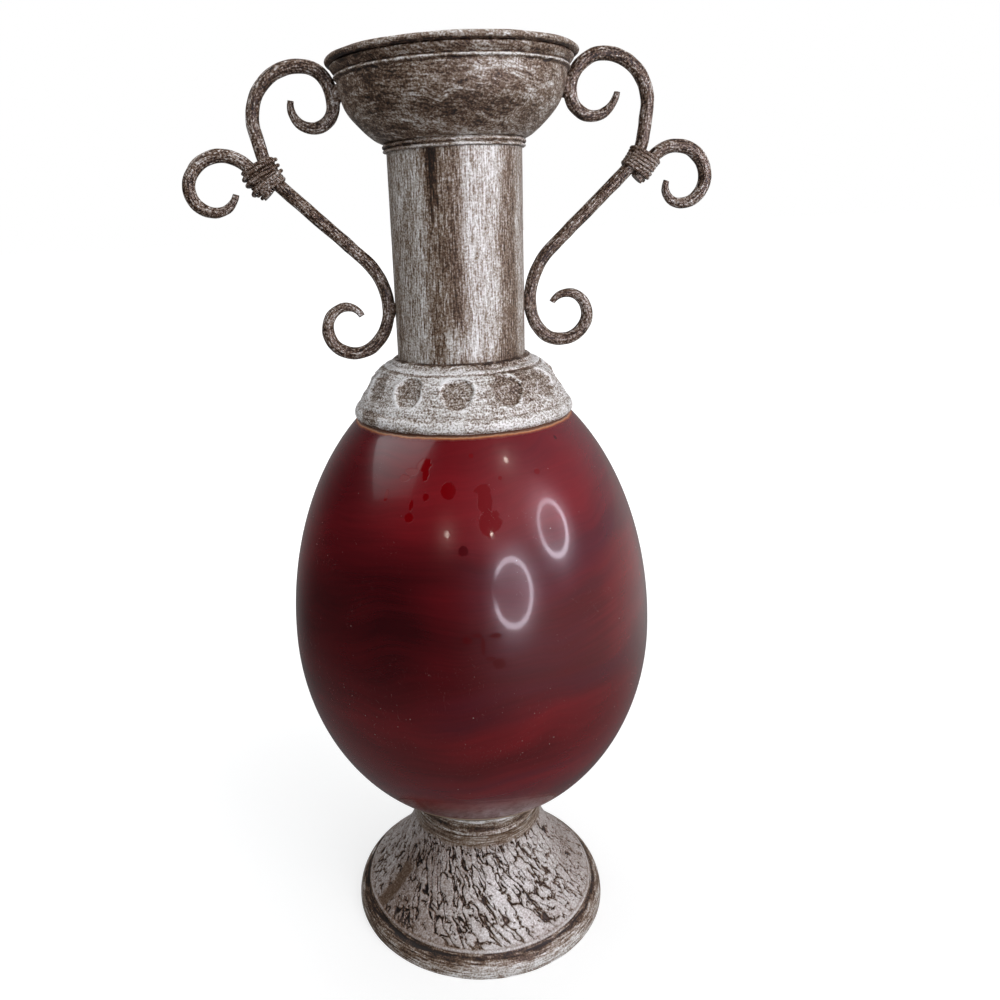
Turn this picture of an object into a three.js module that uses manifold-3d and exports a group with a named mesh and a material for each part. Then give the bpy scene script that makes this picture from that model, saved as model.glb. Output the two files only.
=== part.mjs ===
// A tall metal vase: a spun, lacquered egg on a trumpet foot, with a straight neck, a bowl mouth,
// a dimpled collar and two forged scroll handles bound with wire.
// Millimetres, +Z up. The origin is on the floor under the vase's axis, and the handles lie in the XZ plane.

import * as THREE from 'three';
import { mergeVertices, toCreasedNormals } from 'three/addons/utils/BufferGeometryUtils.js';
import Module from 'manifold-3d';

const wasm = await Module();
wasm.setup();

// Fits and stock
const seatGap = 0.3; // gap left between pieces that touch
const sheet = 1.6; // thickness of the spun sheet
const roundFacets = 32; // facets round the vase's axis

// Foot
const footRadius = 92.5;
const rollHeight = 13.2; // rounded band round the foot's edge
const rollInset = 8.3; // how far the band's top lies inside its bottom
const restWidth = 9; // flat of the band that stands on the floor
const bellHeight = 64.5;
const bellTopRadius = 45.5;
const bellFlare = 1.8; // power of the trumpet's curve
const ferruleHeight = 19.4;
const ferruleWaist = 43.4;

// Egg
const eggRadius = 120;
const eggLowerReach = 142; // from the widest ring to where the lower half would close
const eggUpperReach = 177; // the same for the upper half
const eggFloorRadius = 51;
const eggMouthRadius = 36;

// Neck and collar
const neckRadius = 40;
const neckLength = 134.5;
const collarRadius = 69.5; // widest ring of the collar's lower bead
const collarHeight = 36;
const shoulderRadius = 56.6; // where the dimpled wall turns in to the shoulder
const shoulderHeight = 26;
const dimpleCount = 12;
const dimpleWidth = 15.5;
const dimpleDepth = 2.4;
const dimpleHeight = 20.5; // centre above the collar's lower edge
const dimplePhase = -98.6; // direction of one dimple, in degrees

// Mouth
const neckRingHeight = 4.8;
const neckRingProud = 2.3;
const bowlHeight = 45.6;
const bowlWallRadius = 66.2; // at the ridge under the rim
const bowlFlangeWidth = 2.6; // from the neck's face to the start of the wall
const ridgeHeight = 34.8;
const rimRadius = 72.3;
const lipHeight = 4;

// Handles
const rodRadius = 3.9;
const tipThickness = 0.45; // a drawn tip as a share of the rod
const taperLength = 42;
const neckWeldRise = 30; // weld on the neck above the collar's top
const bowlWeldDrop = 18.2; // weld on the bowl below the rim's top
const wrapTurn = 9; // degrees into the kink at which the two rods lie against each other
const branchTail = 7.5; // length of the branch below that point
const wireRadius = 0.95;
const wirePitch = 2.35;
const wireTurns = 5.5;
const wireGap = 0.56;

// Bends of each handle as [radius, degrees], in the order in which the rod is bent
const handles = {
  left: {
    leave: [35, 43],
    kink: [21, 32],
    shoulder: [27.5, 113],
    crownRadius: 17.3,
    hook: [[20, 12], [12, 182]],
    lowerScroll: [[29, 47], [18.3, 78], [14.2, 112], [10.5, 97]],
    branch: [[27, 61], [16.7, 76], [15.1, 102], [12.2, 76]],
  },
  right: {
    leave: [42, 46],
    kink: [40, 52],
    shoulder: [26.7, 94],
    crownRadius: 18.4,
    hook: [[14.5, 125], [15, 47]],
    lowerScroll: [[29, 36], [17.5, 97], [14, 96], [11.7, 97]],
    branch: [[31.9, 26], [19, 109], [13.8, 114], [10.4, 90]],
  },
};

// Bolt that holds the foot to the egg
const boltRadius = 5;
const boltHeadRadius = 9.2;
const boltHeadHeight = 6.4;
const nutHeight = 8;
const washerRadius = 15;
const washerThickness = 2;
const boltHoleGap = 0.6;
const boltEnd = 5; // bolt standing past the nut

// Finishes
const finishes = {
  antique: new THREE.MeshStandardMaterial({ color: 0x8b8179, roughness: 0.75, metalness: 0.15 }),
  pale: new THREE.MeshStandardMaterial({ color: 0x9d968f, roughness: 0.8, metalness: 0.1 }),
  brown: new THREE.MeshStandardMaterial({ color: 0x4b3f35, roughness: 0.7, metalness: 0.2 }),
  lacquer: new THREE.MeshStandardMaterial({ color: 0x5a1a20, roughness: 0.2, metalness: 0.3 }),
  iron: new THREE.MeshStandardMaterial({ color: 0x574c45, roughness: 0.65, metalness: 0.4 }),
  zinc: new THREE.MeshStandardMaterial({ color: 0x9a9a96, roughness: 0.45, metalness: 0.9 }),
};

// Solids and booleans

function solid(geometry) {
  geometry.deleteAttribute('normal');
  geometry.deleteAttribute('uv');
  const merged = mergeVertices(geometry);
  const index = merged.index.array;
  const faces = [];
  for (let i = 0; i < index.length; i += 3) {
    const [a, b, c] = [index[i], index[i + 1], index[i + 2]];
    if (a !== b && b !== c && c !== a) faces.push(a, b, c);
  }
  return new wasm.Manifold(new wasm.Mesh({
    numProp: 3,
    vertProperties: new Float32Array(merged.attributes.position.array),
    triVerts: new Uint32Array(faces),
  }));
}

function piece(name, body, finish) {
  const mesh = body.getMesh();
  const geometry = new THREE.BufferGeometry();
  geometry.setAttribute('position', new THREE.BufferAttribute(mesh.vertProperties, 3));
  geometry.setIndex(new THREE.BufferAttribute(mesh.triVerts, 1));
  const part = new THREE.Mesh(toCreasedNormals(geometry, Math.PI / 5), finishes[finish].clone());
  part.name = name;
  return part;
}

// A closed outline of [radius, height] pairs turned round the vase's axis
function revolve(outline, facets = roundFacets) {
  const points = outline.map(([radius, height]) => new THREE.Vector2(radius, height));
  if (THREE.ShapeUtils.isClockWise(points)) points.reverse();
  points.push(points[0].clone());
  const geometry = new THREE.LatheGeometry(points, facets);
  geometry.rotateX(Math.PI / 2);
  return solid(geometry);
}

// A smooth profile through a few [radius, height] points
function smooth(points, divisions) {
  const curve = new THREE.SplineCurve(points.map(([radius, height]) => new THREE.Vector2(radius, height)));
  return curve.getPoints(divisions).map((point) => [point.x, point.y]);
}

// A profile that runs upwards, moved outwards by a distance (inwards when it is negative)
function offset(profile, distance) {
  return profile.map(([radius, height], i) => {
    const [r0, h0] = profile[Math.max(i - 1, 0)];
    const [r1, h1] = profile[Math.min(i + 1, profile.length - 1)];
    const length = Math.hypot(r1 - r0, h1 - h0);
    return [radius + distance * (h1 - h0) / length, height - distance * (r1 - r0) / length];
  });
}

function lift(profile, height) {
  return profile.map(([radius, z]) => [radius, z + height]);
}

// Points of an elliptical arc about (radius, height), from one angle to another in degrees
function arc(radius, height, reachOut, reachUp, from, to, count) {
  return Array.from({ length: count + 1 }, (_, i) => {
    const angle = THREE.MathUtils.degToRad(from + (to - from) * i / count);
    return [radius + reachOut * Math.cos(angle), height + reachUp * Math.sin(angle)];
  });
}

function rod(radius, bottom, top, facets) {
  const geometry = new THREE.CylinderGeometry(radius, radius, top - bottom, facets);
  geometry.rotateX(Math.PI / 2);
  geometry.translate(0, 0, (top + bottom) / 2);
  return solid(geometry);
}

// Heights that follow from the sizes above
const bellBase = rollHeight + seatGap;
const bellTop = bellBase + bellHeight;
const ferruleBase = bellTop + seatGap;
const ferruleTop = ferruleBase + ferruleHeight;
const eggBase = ferruleTop + seatGap;
const eggEquator = eggBase + eggLowerReach * Math.sqrt(1 - (eggFloorRadius / eggRadius) ** 2);
const neckInner = neckRadius - sheet;

// Height of the egg's upper shell at a radius
function eggShoulder(radius) {
  return eggEquator + eggUpperReach * Math.sqrt(1 - (radius / eggRadius) ** 2);
}

const neckBase = eggShoulder(neckInner) + seatGap;
const neckTop = neckBase + neckLength;
const neckRingBase = neckTop + seatGap;
const bowlBase = neckRingBase + neckRingHeight + seatGap;
const rimTop = bowlBase + bowlHeight;
const collarSkirt = collarRadius - 0.9; // outer radius of the collar's lower edge
const collarBase = eggShoulder(collarSkirt - sheet - seatGap) + seatGap / 2;
const neckWeldHeight = collarBase + collarHeight + neckWeldRise;
const boltHole = boltRadius + boltHoleGap;

// Foot

function footRing() {
  const topRadius = footRadius - rollInset;
  const outer = arc(topRadius, 0, rollInset, rollHeight, 0, 90, 4);
  const thick = 2 * sheet;
  return revolve([
    ...outer,
    [topRadius - sheet, rollHeight],
    [topRadius - sheet, rollHeight - sheet],
    [footRadius - thick, sheet],
    [footRadius - restWidth, sheet],
    [footRadius - restWidth, 0],
  ]);
}

function bellProfile(spans) {
  const baseRadius = footRadius - rollInset;
  return Array.from({ length: spans + 1 }, (_, i) => {
    const share = i / spans;
    const radius = bellTopRadius + (baseRadius - bellTopRadius) * (1 - share) ** bellFlare;
    return [radius, bellBase + bellHeight * share];
  });
}

function footBell() {
  const outer = bellProfile(7);
  const inner = offset(bellProfile(4), -sheet);
  inner[0][1] = bellBase;
  const [shelfRadius] = inner.pop();
  return revolve([
    ...outer,
    [boltHole, bellTop],
    [boltHole, bellTop - sheet],
    [shelfRadius, bellTop - sheet],
    ...inner.reverse(),
  ]);
}

function footFerrule() {
  const cove = [
    [bellTopRadius - 0.8, ferruleBase],
    [ferruleWaist, ferruleBase + ferruleHeight * 0.38],
    [ferruleWaist + 1.8, ferruleBase + ferruleHeight * 0.72],
    [eggFloorRadius - 0.8, ferruleTop],
  ];
  const outer = smooth(cove, 5);
  const inner = offset(smooth(cove, 3), -sheet);
  inner[0][1] = ferruleBase;
  inner[inner.length - 1][1] = ferruleTop;
  return revolve([...outer, ...inner.reverse()]);
}

// Egg

// Half of the shell's outline between two radii, as an ellipse quarter sampled by angle
function eggHalf(inset, reach, fromRadius, toRadius, count) {
  const widest = eggRadius - inset;
  const angles = [Math.acos(fromRadius / widest), Math.acos(toRadius / widest)];
  return Array.from({ length: count + 1 }, (_, i) => {
    const angle = angles[0] + (angles[1] - angles[0]) * i / count;
    return [widest * Math.cos(angle), eggEquator + (reach - inset * Math.sign(reach)) * Math.sin(angle)];
  });
}

// The egg is spun in two halves that meet at its widest ring
function eggLowerHalf() {
  const outer = eggHalf(0, -eggLowerReach, eggFloorRadius, eggRadius, 7);
  const floorTop = eggBase + sheet;
  const innerFloor = (eggRadius - sheet) * Math.sqrt(1 - ((eggEquator - floorTop) / (eggLowerReach - sheet)) ** 2);
  const inner = eggHalf(sheet, -eggLowerReach, innerFloor, eggRadius - sheet, 4);
  return revolve([
    [boltHole, eggBase],
    ...outer,
    ...inner.reverse(),
    [boltHole, floorTop],
  ]);
}

function eggUpperHalf() {
  const outer = eggHalf(0, eggUpperReach, eggRadius, eggMouthRadius, 9);
  const inner = eggHalf(sheet, eggUpperReach, eggRadius - sheet, eggMouthRadius, 5);
  outer[0][1] += seatGap;
  inner[0][1] += seatGap;
  return revolve([...outer, ...inner.reverse()]);
}

// Neck and collar

function neckTube() {
  return revolve([[neckRadius, neckBase], [neckRadius, neckTop], [neckInner, neckTop], [neckInner, neckBase]]);
}

function collarProfile(spans) {
  return smooth([
    [collarSkirt, 0],
    [collarRadius, 3],
    [collarRadius - 1.2, 7.5],
    [(collarRadius + shoulderRadius) / 2 - 0.8, shoulderHeight * 0.6],
    [shoulderRadius + 1.6, shoulderHeight * 0.85],
    [shoulderRadius, shoulderHeight],
    [shoulderRadius - 6.6, collarHeight - 5.6],
    [neckRadius + seatGap, collarHeight],
  ], spans);
}

// One ball for each dimple, pushed into the collar's wall from outside
function dimpleBalls(profile, extra, detail) {
  const ballRadius = (dimpleWidth ** 2 / 4 + dimpleDepth ** 2) / (2 * dimpleDepth);
  const upper = profile.findIndex(([, height]) => height > dimpleHeight);
  const [[r0, h0], [r1, h1]] = [profile[upper - 1], profile[upper]];
  const along = (dimpleHeight - h0) / (h1 - h0);
  const length = Math.hypot(r1 - r0, h1 - h0);
  const reach = ballRadius - dimpleDepth;
  const ballRing = r0 + along * (r1 - r0) + reach * (h1 - h0) / length;
  const ballHeight = collarBase + dimpleHeight - reach * (r1 - r0) / length;
  let balls = null;
  for (let i = 0; i < dimpleCount; i++) {
    const angle = THREE.MathUtils.degToRad(dimplePhase + 360 * i / dimpleCount);
    const geometry = new THREE.IcosahedronGeometry(ballRadius + extra, detail);
    geometry.translate(ballRing * Math.cos(angle), ballRing * Math.sin(angle), ballHeight);
    const ball = solid(geometry);
    balls = balls ? balls.add(ball) : ball;
  }
  return balls;
}

function collar() {
  const profile = collarProfile(12);
  const outer = lift(profile, collarBase);
  const inner = offset(lift(collarProfile(7), collarBase), -sheet);
  inner[0][1] = collarBase;
  const topInner = inner[inner.length - 1];
  topInner[0] = neckRadius + seatGap;
  const axisRadius = neckRadius + seatGap;
  const outside = revolve([...outer, [axisRadius, collarBase]]);
  const inside = revolve([...inner, [axisRadius - 1, topInner[1]], [axisRadius - 1, collarBase - 1],
    [inner[0][0], collarBase - 1]]);
  const pressedOutside = outside.subtract(dimpleBalls(profile, 0, 3));
  const pressedInside = inside.subtract(dimpleBalls(profile, sheet, 1));
  return pressedOutside.subtract(pressedInside);
}

// Mouth

function neckRing() {
  const face = neckRadius + neckRingProud;
  return revolve([
    [neckInner, neckRingBase],
    [face - 1, neckRingBase],
    [face - 0.5, neckRingBase + 0.7],
    [face - 1.2, neckRingBase + 1.4],
    ...arc(face - 1.2, neckRingBase + 3.1, 1.2, 1.3, -80, 80, 3),
    [neckInner, neckRingBase + neckRingHeight],
  ]);
}

// Outer wall of the bowl from its flange up to the ridge, above the bowl's base
function bowlWall(spans) {
  const start = neckRadius + bowlFlangeWidth;
  const swell = bowlWallRadius - start;
  return smooth([
    [start, 0],
    [start + swell * 0.16, ridgeHeight * 0.075],
    [start + swell * 0.55, ridgeHeight * 0.316],
    [start + swell * 0.84, ridgeHeight * 0.569],
    [start + swell * 0.962, ridgeHeight * 0.79],
    [bowlWallRadius, ridgeHeight],
  ], spans);
}

function mouthBowl() {
  const wall = bowlWall(8);
  const innerWall = offset(bowlWall(5), -sheet);
  const lipBase = bowlHeight - lipHeight;
  const bandMiddle = (ridgeHeight + lipBase) / 2 + 0.6;
  const lipCentre = rimRadius - 2.9;
  return revolve(lift([
    [neckInner, 0],
    ...wall,
    [bowlWallRadius + 0.9, ridgeHeight + 0.5],
    [bowlWallRadius + 0.3, ridgeHeight + 1.5],
    [bowlWallRadius + 2.2, bandMiddle],
    [bowlWallRadius + 3.1, lipBase - 1.2],
    [bowlWallRadius + 2.7, lipBase],
    ...arc(lipCentre, lipBase + lipHeight / 2, 2.9, lipHeight / 2, -70, 175, 5),
    [bowlWallRadius - sheet + 0.8, bandMiddle],
    ...innerWall.slice(1).reverse(),
    [neckInner, sheet],
  ], bowlBase));
}

// Handles: a bar is a chain of bends in the XZ plane, drawn for the right-hand side

// Follows bends of [radius, degrees] and straights of [Infinity, length]. Left turns are positive.
function follow(state, bends) {
  const points = [];
  let { x, z, heading } = state;
  for (const [radius, amount] of bends) {
    const straight = radius === Infinity;
    const turn = straight ? 0 : THREE.MathUtils.degToRad(amount);
    const length = straight ? amount : Math.abs(turn) * radius;
    const steps = Math.max(1, Math.ceil(length / 3));
    for (let i = 0; i < steps; i++) {
      const middle = heading + turn / steps / 2;
      x += length / steps * Math.cos(middle);
      z += length / steps * Math.sin(middle);
      heading += turn / steps;
      points.push([x, z]);
    }
  }
  return { x, z, heading, points };
}

// Where a rod lies against the bowl: the wall's point and lean at the weld
function bowlContact() {
  const wall = lift(bowlWall(8), bowlBase);
  const height = rimTop - bowlWeldDrop;
  const upper = wall.findIndex(([, z]) => z > height);
  const [[r0, z0], [r1, z1]] = [wall[upper - 1], wall[upper]];
  const lean = Math.atan2(r1 - r0, z1 - z0);
  const radius = r0 + (r1 - r0) * (height - z0) / (z1 - z0);
  const away = rodRadius + seatGap;
  return { x: radius + away * Math.cos(lean), z: height - away * Math.sin(lean), lean, radius, height };
}

// The main rod's centre line. Its run and its riser take the lengths that bring the crown to the bowl.
function mainRodLine(bends) {
  const contact = bowlContact();
  const start = { x: neckRadius + seatGap + rodRadius, z: neckWeldHeight, heading: Math.PI / 2 };
  const leanDegrees = THREE.MathUtils.radToDeg(contact.lean);
  const [leave, kink, shoulder] = [bends.leave, bends.kink, bends.shoulder];
  const crown = [bends.crownRadius, 180 + leave[1] - kink[1] - shoulder[1] - leanDegrees];
  const chain = (run, riser) => [[leave[0], -leave[1]], [Infinity, run], kink, [Infinity, riser], shoulder, crown];
  const short = follow(start, chain(0, 0));
  const runHeading = Math.PI / 2 - THREE.MathUtils.degToRad(leave[1]);
  const riserHeading = runHeading + THREE.MathUtils.degToRad(kink[1]);
  const [dx, dz] = [contact.x - short.x, contact.z - short.z];
  const across = Math.sin(riserHeading - runHeading);
  const run = (dx * Math.sin(riserHeading) - dz * Math.cos(riserHeading)) / across;
  const riser = (dz * Math.cos(runHeading) - dx * Math.sin(runHeading)) / across;
  const hook = [[bends.hook[0][0], bends.hook[0][1] + leanDegrees], ...bends.hook.slice(1)];
  const upper = follow(start, [...chain(run, riser), ...hook]);
  const lower = follow({ ...start, heading: -Math.PI / 2 }, bends.lowerScroll);
  const wrap = follow(start, [[leave[0], -leave[1]], [Infinity, run], [kink[0], wrapTurn]]);
  return { points: [...lower.points.reverse(), [start.x, start.z], ...upper.points], wrap };
}

// Where the branch lies against the main rod, beside a point of the main rod's centre line
function branchTouch({ x, z, heading }) {
  const apart = 2 * rodRadius + seatGap;
  return { x: x + apart * Math.sin(heading), z: z - apart * Math.cos(heading), heading };
}

// The branch's centre line, with a short tail below the wrap
function branchRodLine(bends, wrap) {
  const touch = branchTouch(wrap);
  const [firstRadius] = bends.branch[0];
  const tailTurn = THREE.MathUtils.radToDeg(branchTail / firstRadius);
  const tail = follow({ ...touch, heading: wrap.heading + Math.PI }, [[firstRadius, tailTurn]]);
  const forward = follow(touch, bends.branch.map(([radius, degrees]) => [radius, -degrees]));
  return [...tail.points.reverse(), [touch.x, touch.z], ...forward.points];
}

// A round bar along a line in the XZ plane, drawn out to a taper at its tips
function bar(line, side, { radius = rodRadius, sides = 8, taperStart = true, taperEnd = true, step = 5 } = {}) {
  const path = new THREE.CatmullRomCurve3(line.map(([x, z]) => new THREE.Vector3(side * x, 0, z)));
  const length = path.getLength();
  const steps = Math.ceil(length / step);
  const corner = radius / Math.cos(Math.PI / sides);
  const section = new THREE.Shape(Array.from({ length: sides }, (_, i) => {
    const angle = 2 * Math.PI * (i + 0.5) / sides;
    return new THREE.Vector2(corner * Math.cos(angle), corner * Math.sin(angle));
  }));
  const geometry = new THREE.ExtrudeGeometry(section, { steps, bevelEnabled: false, extrudePath: path });
  const centres = path.getSpacedPoints(steps);
  const position = geometry.attributes.position;
  const vertex = new THREE.Vector3();
  for (let i = 0; i < position.count; i++) {
    vertex.fromBufferAttribute(position, i);
    const distances = centres.map((centre) => centre.distanceToSquared(vertex));
    const nearest = distances.indexOf(Math.min(...distances));
    const fromStart = taperStart ? nearest / steps * length : Infinity;
    const fromEnd = taperEnd ? (1 - nearest / steps) * length : Infinity;
    const drawn = Math.min(1, Math.min(fromStart, fromEnd) / taperLength);
    const scale = tipThickness + (1 - tipThickness) * Math.sin(drawn * Math.PI / 2);
    vertex.sub(centres[nearest]).multiplyScalar(scale).add(centres[nearest]);
    position.setXYZ(i, vertex.x, vertex.y, vertex.z);
  }
  return solid(geometry);
}

// A point of an arc, a distance along it from a state. The radius is negative where the arc turns right.
function along({ x, z, heading }, radius, distance) {
  const turned = heading + distance / radius;
  return {
    x: x + radius * (Math.sin(turned) - Math.sin(heading)),
    z: z - radius * (Math.cos(turned) - Math.cos(heading)),
    heading: turned,
  };
}

// Wire wound round both rods where they lie together, square to whichever rod it passes round
function wireWrap(bends, wrap, side) {
  const pointsPerTurn = 12;
  const count = Math.round(wireTurns * pointsPerTurn);
  const reach = rodRadius + wireGap + wireRadius;
  const touch = branchTouch(wrap);
  const points = [];
  for (let i = 0; i <= count; i++) {
    const distance = (i / pointsPerTurn - wireTurns / 2) * wirePitch;
    const angle = 2 * Math.PI * (i + 0.5) / pointsPerTurn;
    const centre = Math.cos(angle) > 0
      ? along(touch, -bends.branch[0][0], distance)
      : along(wrap, bends.kink[0], distance);
    const outwards = reach * Math.cos(angle);
    points.push(new THREE.Vector3(
      side * (centre.x + outwards * Math.sin(centre.heading)),
      reach * Math.sin(angle),
      centre.z - outwards * Math.cos(centre.heading),
    ));
  }
  const path = new THREE.CatmullRomCurve3(points);
  const section = new THREE.Shape(Array.from({ length: 5 }, (_, i) => {
    const angle = 2 * Math.PI * i / 5;
    return new THREE.Vector2(wireRadius * Math.cos(angle), wireRadius * Math.sin(angle));
  }));
  return solid(new THREE.ExtrudeGeometry(section, { steps: count + 12, bevelEnabled: false, extrudePath: path }));
}

// A weld bead fills the notch between a rod and what it is welded to, on one side of the rod
function weldBead(x, z, lean, depth, neighbours) {
  const geometry = new THREE.SphereGeometry(1, 8, 6);
  geometry.scale(2.5, 2.5, 5.5);
  geometry.rotateY(lean);
  geometry.translate(x, depth, z);
  return neighbours.reduce((bead, neighbour) => bead.subtract(neighbour), solid(geometry));
}

function handle(name, side) {
  const bends = handles[name];
  const { points, wrap } = mainRodLine(bends);
  const branchPoints = branchRodLine(bends, wrap);
  const fatRod = bar(points, side, { radius: rodRadius + seatGap });
  const fatNeck = rod(neckRadius + seatGap, neckBase, neckTop, roundFacets);
  const bowlOutline = lift(offset(bowlWall(8), seatGap), bowlBase);
  const fatBowl = revolve([[1, bowlOutline[0][1]], ...bowlOutline, [1, bowlBase + ridgeHeight]]);
  const contact = bowlContact();
  const pieces = [
    piece(`handle_rod_${name}`, bar(points, side), 'iron'),
    piece(`branch_rod_${name}`, bar(branchPoints, side, { taperStart: false }), 'iron'),
    piece(`wire_wrap_${name}`, wireWrap(bends, wrap, side), 'iron'),
  ];
  for (const [face, depth] of [['front', -1], ['back', 1]]) {
    const notch = depth * (rodRadius * 0.85);
    const neckBead = weldBead(side * (neckRadius + 1.3), neckWeldHeight, 0, notch, [fatRod, fatNeck]);
    const bowlBead = weldBead(side * (contact.radius + 1.3), contact.height - 0.6, side * contact.lean, notch,
      [fatRod, fatBowl]);
    pieces.push(piece(`neck_weld_${name}_${face}`, neckBead, 'iron'));
    pieces.push(piece(`bowl_weld_${name}_${face}`, bowlBead, 'iron'));
  }
  return pieces;
}

// Bolt between foot and egg, through the bell's shelf and the egg's floor

const shelfUnderside = bellTop - sheet;
const lowerWasherTop = shelfUnderside - seatGap;
const upperWasherBase = eggBase + sheet + seatGap;
const nutBase = upperWasherBase + washerThickness + seatGap;

function footBolt() {
  const headTop = lowerWasherTop - washerThickness - seatGap;
  const head = rod(boltHeadRadius, headTop - boltHeadHeight, headTop, 6);
  return head.add(rod(boltRadius, headTop - boltHeadHeight / 2, nutBase + nutHeight + boltEnd, 16));
}

function washer(base) {
  return rod(washerRadius, base, base + washerThickness, 18).subtract(rod(boltHole, base - 1, base + washerThickness + 1, 18));
}

function footNut() {
  const bore = rod(boltRadius + seatGap, nutBase - 1, nutBase + nutHeight + 1, 18);
  return rod(boltHeadRadius, nutBase, nutBase + nutHeight, 6).subtract(bore);
}

const vase = new THREE.Group();
vase.add(
  piece('foot_ring', footRing(), 'antique'),
  piece('foot_bell', footBell(), 'pale'),
  piece('foot_ferrule', footFerrule(), 'brown'),
  piece('egg_lower_half', eggLowerHalf(), 'lacquer'),
  piece('egg_upper_half', eggUpperHalf(), 'lacquer'),
  piece('collar', collar(), 'pale'),
  piece('neck_tube', neckTube(), 'antique'),
  piece('neck_ring', neckRing(), 'antique'),
  piece('mouth_bowl', mouthBowl(), 'antique'),
  ...handle('left', -1),
  ...handle('right', 1),
  piece('foot_bolt', footBolt(), 'zinc'),
  piece('bolt_washer_lower', washer(lowerWasherTop - washerThickness), 'zinc'),
  piece('bolt_washer_upper', washer(upperWasherBase), 'zinc'),
  piece('foot_nut', footNut(), 'zinc'),
);

export default vase;
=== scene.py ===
"""A tall metal vase: lacquered egg, bark-textured foot, antiqued neck and mouth, forged scroll handles."""

import math

import bpy
import numpy as np
from bpy.props import FloatProperty, FloatVectorProperty, PointerProperty
from mathutils import Matrix, Vector, noise


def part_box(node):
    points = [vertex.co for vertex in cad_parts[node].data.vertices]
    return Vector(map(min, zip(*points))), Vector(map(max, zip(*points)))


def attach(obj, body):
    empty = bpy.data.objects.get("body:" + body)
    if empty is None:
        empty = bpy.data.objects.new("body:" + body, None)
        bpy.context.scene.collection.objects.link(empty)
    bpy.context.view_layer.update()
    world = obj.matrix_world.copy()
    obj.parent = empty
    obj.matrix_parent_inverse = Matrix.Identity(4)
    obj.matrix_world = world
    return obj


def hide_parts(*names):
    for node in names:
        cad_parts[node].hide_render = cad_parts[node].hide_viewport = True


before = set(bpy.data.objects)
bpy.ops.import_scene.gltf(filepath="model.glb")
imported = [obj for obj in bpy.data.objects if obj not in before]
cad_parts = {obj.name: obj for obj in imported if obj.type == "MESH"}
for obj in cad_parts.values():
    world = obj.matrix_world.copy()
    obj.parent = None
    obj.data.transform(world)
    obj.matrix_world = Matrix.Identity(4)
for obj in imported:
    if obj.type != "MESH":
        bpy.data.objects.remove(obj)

bl_info = {
    "name": "Metal Vase",
    "version": (1, 0, 0),
    "blender": (4, 5, 0),
    "location": "3D View > Sidebar > Vase",
    "description": "Builds a lacquered metal vase with forged scroll handles",
    "category": "Add Mesh",
}

MM = 0.001
BODY = "root"

# Thickness of the metal in millimetres
SHEET = 1.6

# Settings


def length(name, description, default):
    return FloatProperty(name=name, description=description, default=default * MM, unit="LENGTH")


def colour(name, description, code):
    return FloatVectorProperty(
        name=name, description=description, default=srgb(code), subtype="COLOR", size=3, min=0.0, max=1.0
    )


def srgb(code):
    """The linear colour of a six-digit screen colour."""
    parts = [int(code[i : i + 2], 16) / 255 for i in (0, 2, 4)]
    return tuple(c / 12.92 if c <= 0.04045 else ((c + 0.055) / 1.055) ** 2.4 for c in parts)


class VaseSizes(bpy.types.PropertyGroup):
    """Sizes of the spun parts."""

    foot_radius: length("Foot radius", "Radius of the foot on the floor", 92.5)
    roll_height: length("Roll height", "Height of the rounded band round the foot", 13.2)
    bell_height: length("Bell height", "Height of the textured bell", 64.5)
    bell_top: length("Bell top radius", "Radius of the bell under the ferrule", 45.5)
    pad_height: length("Pad height", "Height of the bark's pads over its crevices", 1.7)
    ferrule_height: length("Ferrule height", "Height of the cove between bell and egg", 19.4)
    egg_radius: length("Egg radius", "Radius of the egg at its widest", 120.0)
    egg_floor: length("Egg floor radius", "Radius of the egg's flat floor", 51.0)
    egg_lower: length("Egg lower reach", "Reach of the lower half under the widest ring", 142.0)
    egg_upper: length("Egg upper reach", "Reach of the upper half over the widest ring", 177.0)
    egg_mouth: length("Egg mouth radius", "Radius of the egg's opening", 36.0)
    neck_radius: length("Neck radius", "Outer radius of the neck tube", 40.0)
    neck_length: length("Neck length", "Length of the neck tube", 134.5)
    collar_height: length("Collar height", "Height of the dimpled collar", 36.0)
    dimple_width: length("Dimple width", "Width of a dimple", 18.6)
    dimple_depth: length("Dimple depth", "Depth of a dimple", 2.2)
    sheet: length("Sheet", "Thickness of the metal", SHEET)


class HandleSizes(bpy.types.PropertyGroup):
    """Sizes of the forged handles."""

    bar_radius: length("Bar radius", "Radius of the handle bar", 3.9)
    taper: length("Taper", "Length over which a tip is drawn out", 42.0)
    wire_radius: length("Wire radius", "Radius of the binding wire", 1.08)


class VaseFinishes(bpy.types.PropertyGroup):
    """Colours of the finishes."""

    lacquer_dark: colour("Lacquer, dark", "Deepest tone of the lacquer", "360106")
    lacquer: colour("Lacquer", "Main tone of the lacquer", "58050E")
    lacquer_bright: colour("Lacquer, bright", "Brightest tone of the lacquer", "7C0E18")
    # Plum painted over the lacquer as a haze of painted reflection
    lacquer_reflection_haze: colour("Lacquer, cloud", "Plum clouding in the lacquer", "4A1526")
    chip: colour("Chip", "Fresh red where the lacquer has run", "700006")
    copper: colour("Copper", "Bare metal at the collar's edge", "B3683A")
    cream: colour("Cream", "Bare line under the lacquer", "C9B08C")
    zinc: colour("Zinc", "Plated bolt, nut and washers", "9A9A96")


class VaseStudio(bpy.types.PropertyGroup):
    """Camera and light."""

    distance: length("Camera distance", "Distance of the camera from the vase's axis", 546.4)
    height: length("Camera height", "Height of the camera over the floor", 491.2)
    lens: FloatProperty(
        name="Lens", description="Focal length in millimetres", default=30.96, min=10, max=200,
    )


def sizes():
    return bpy.context.scene.vase_sizes


def handle_sizes():
    return bpy.context.scene.vase_handles


def finishes():
    return bpy.context.scene.vase_finishes


# Modelling


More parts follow.
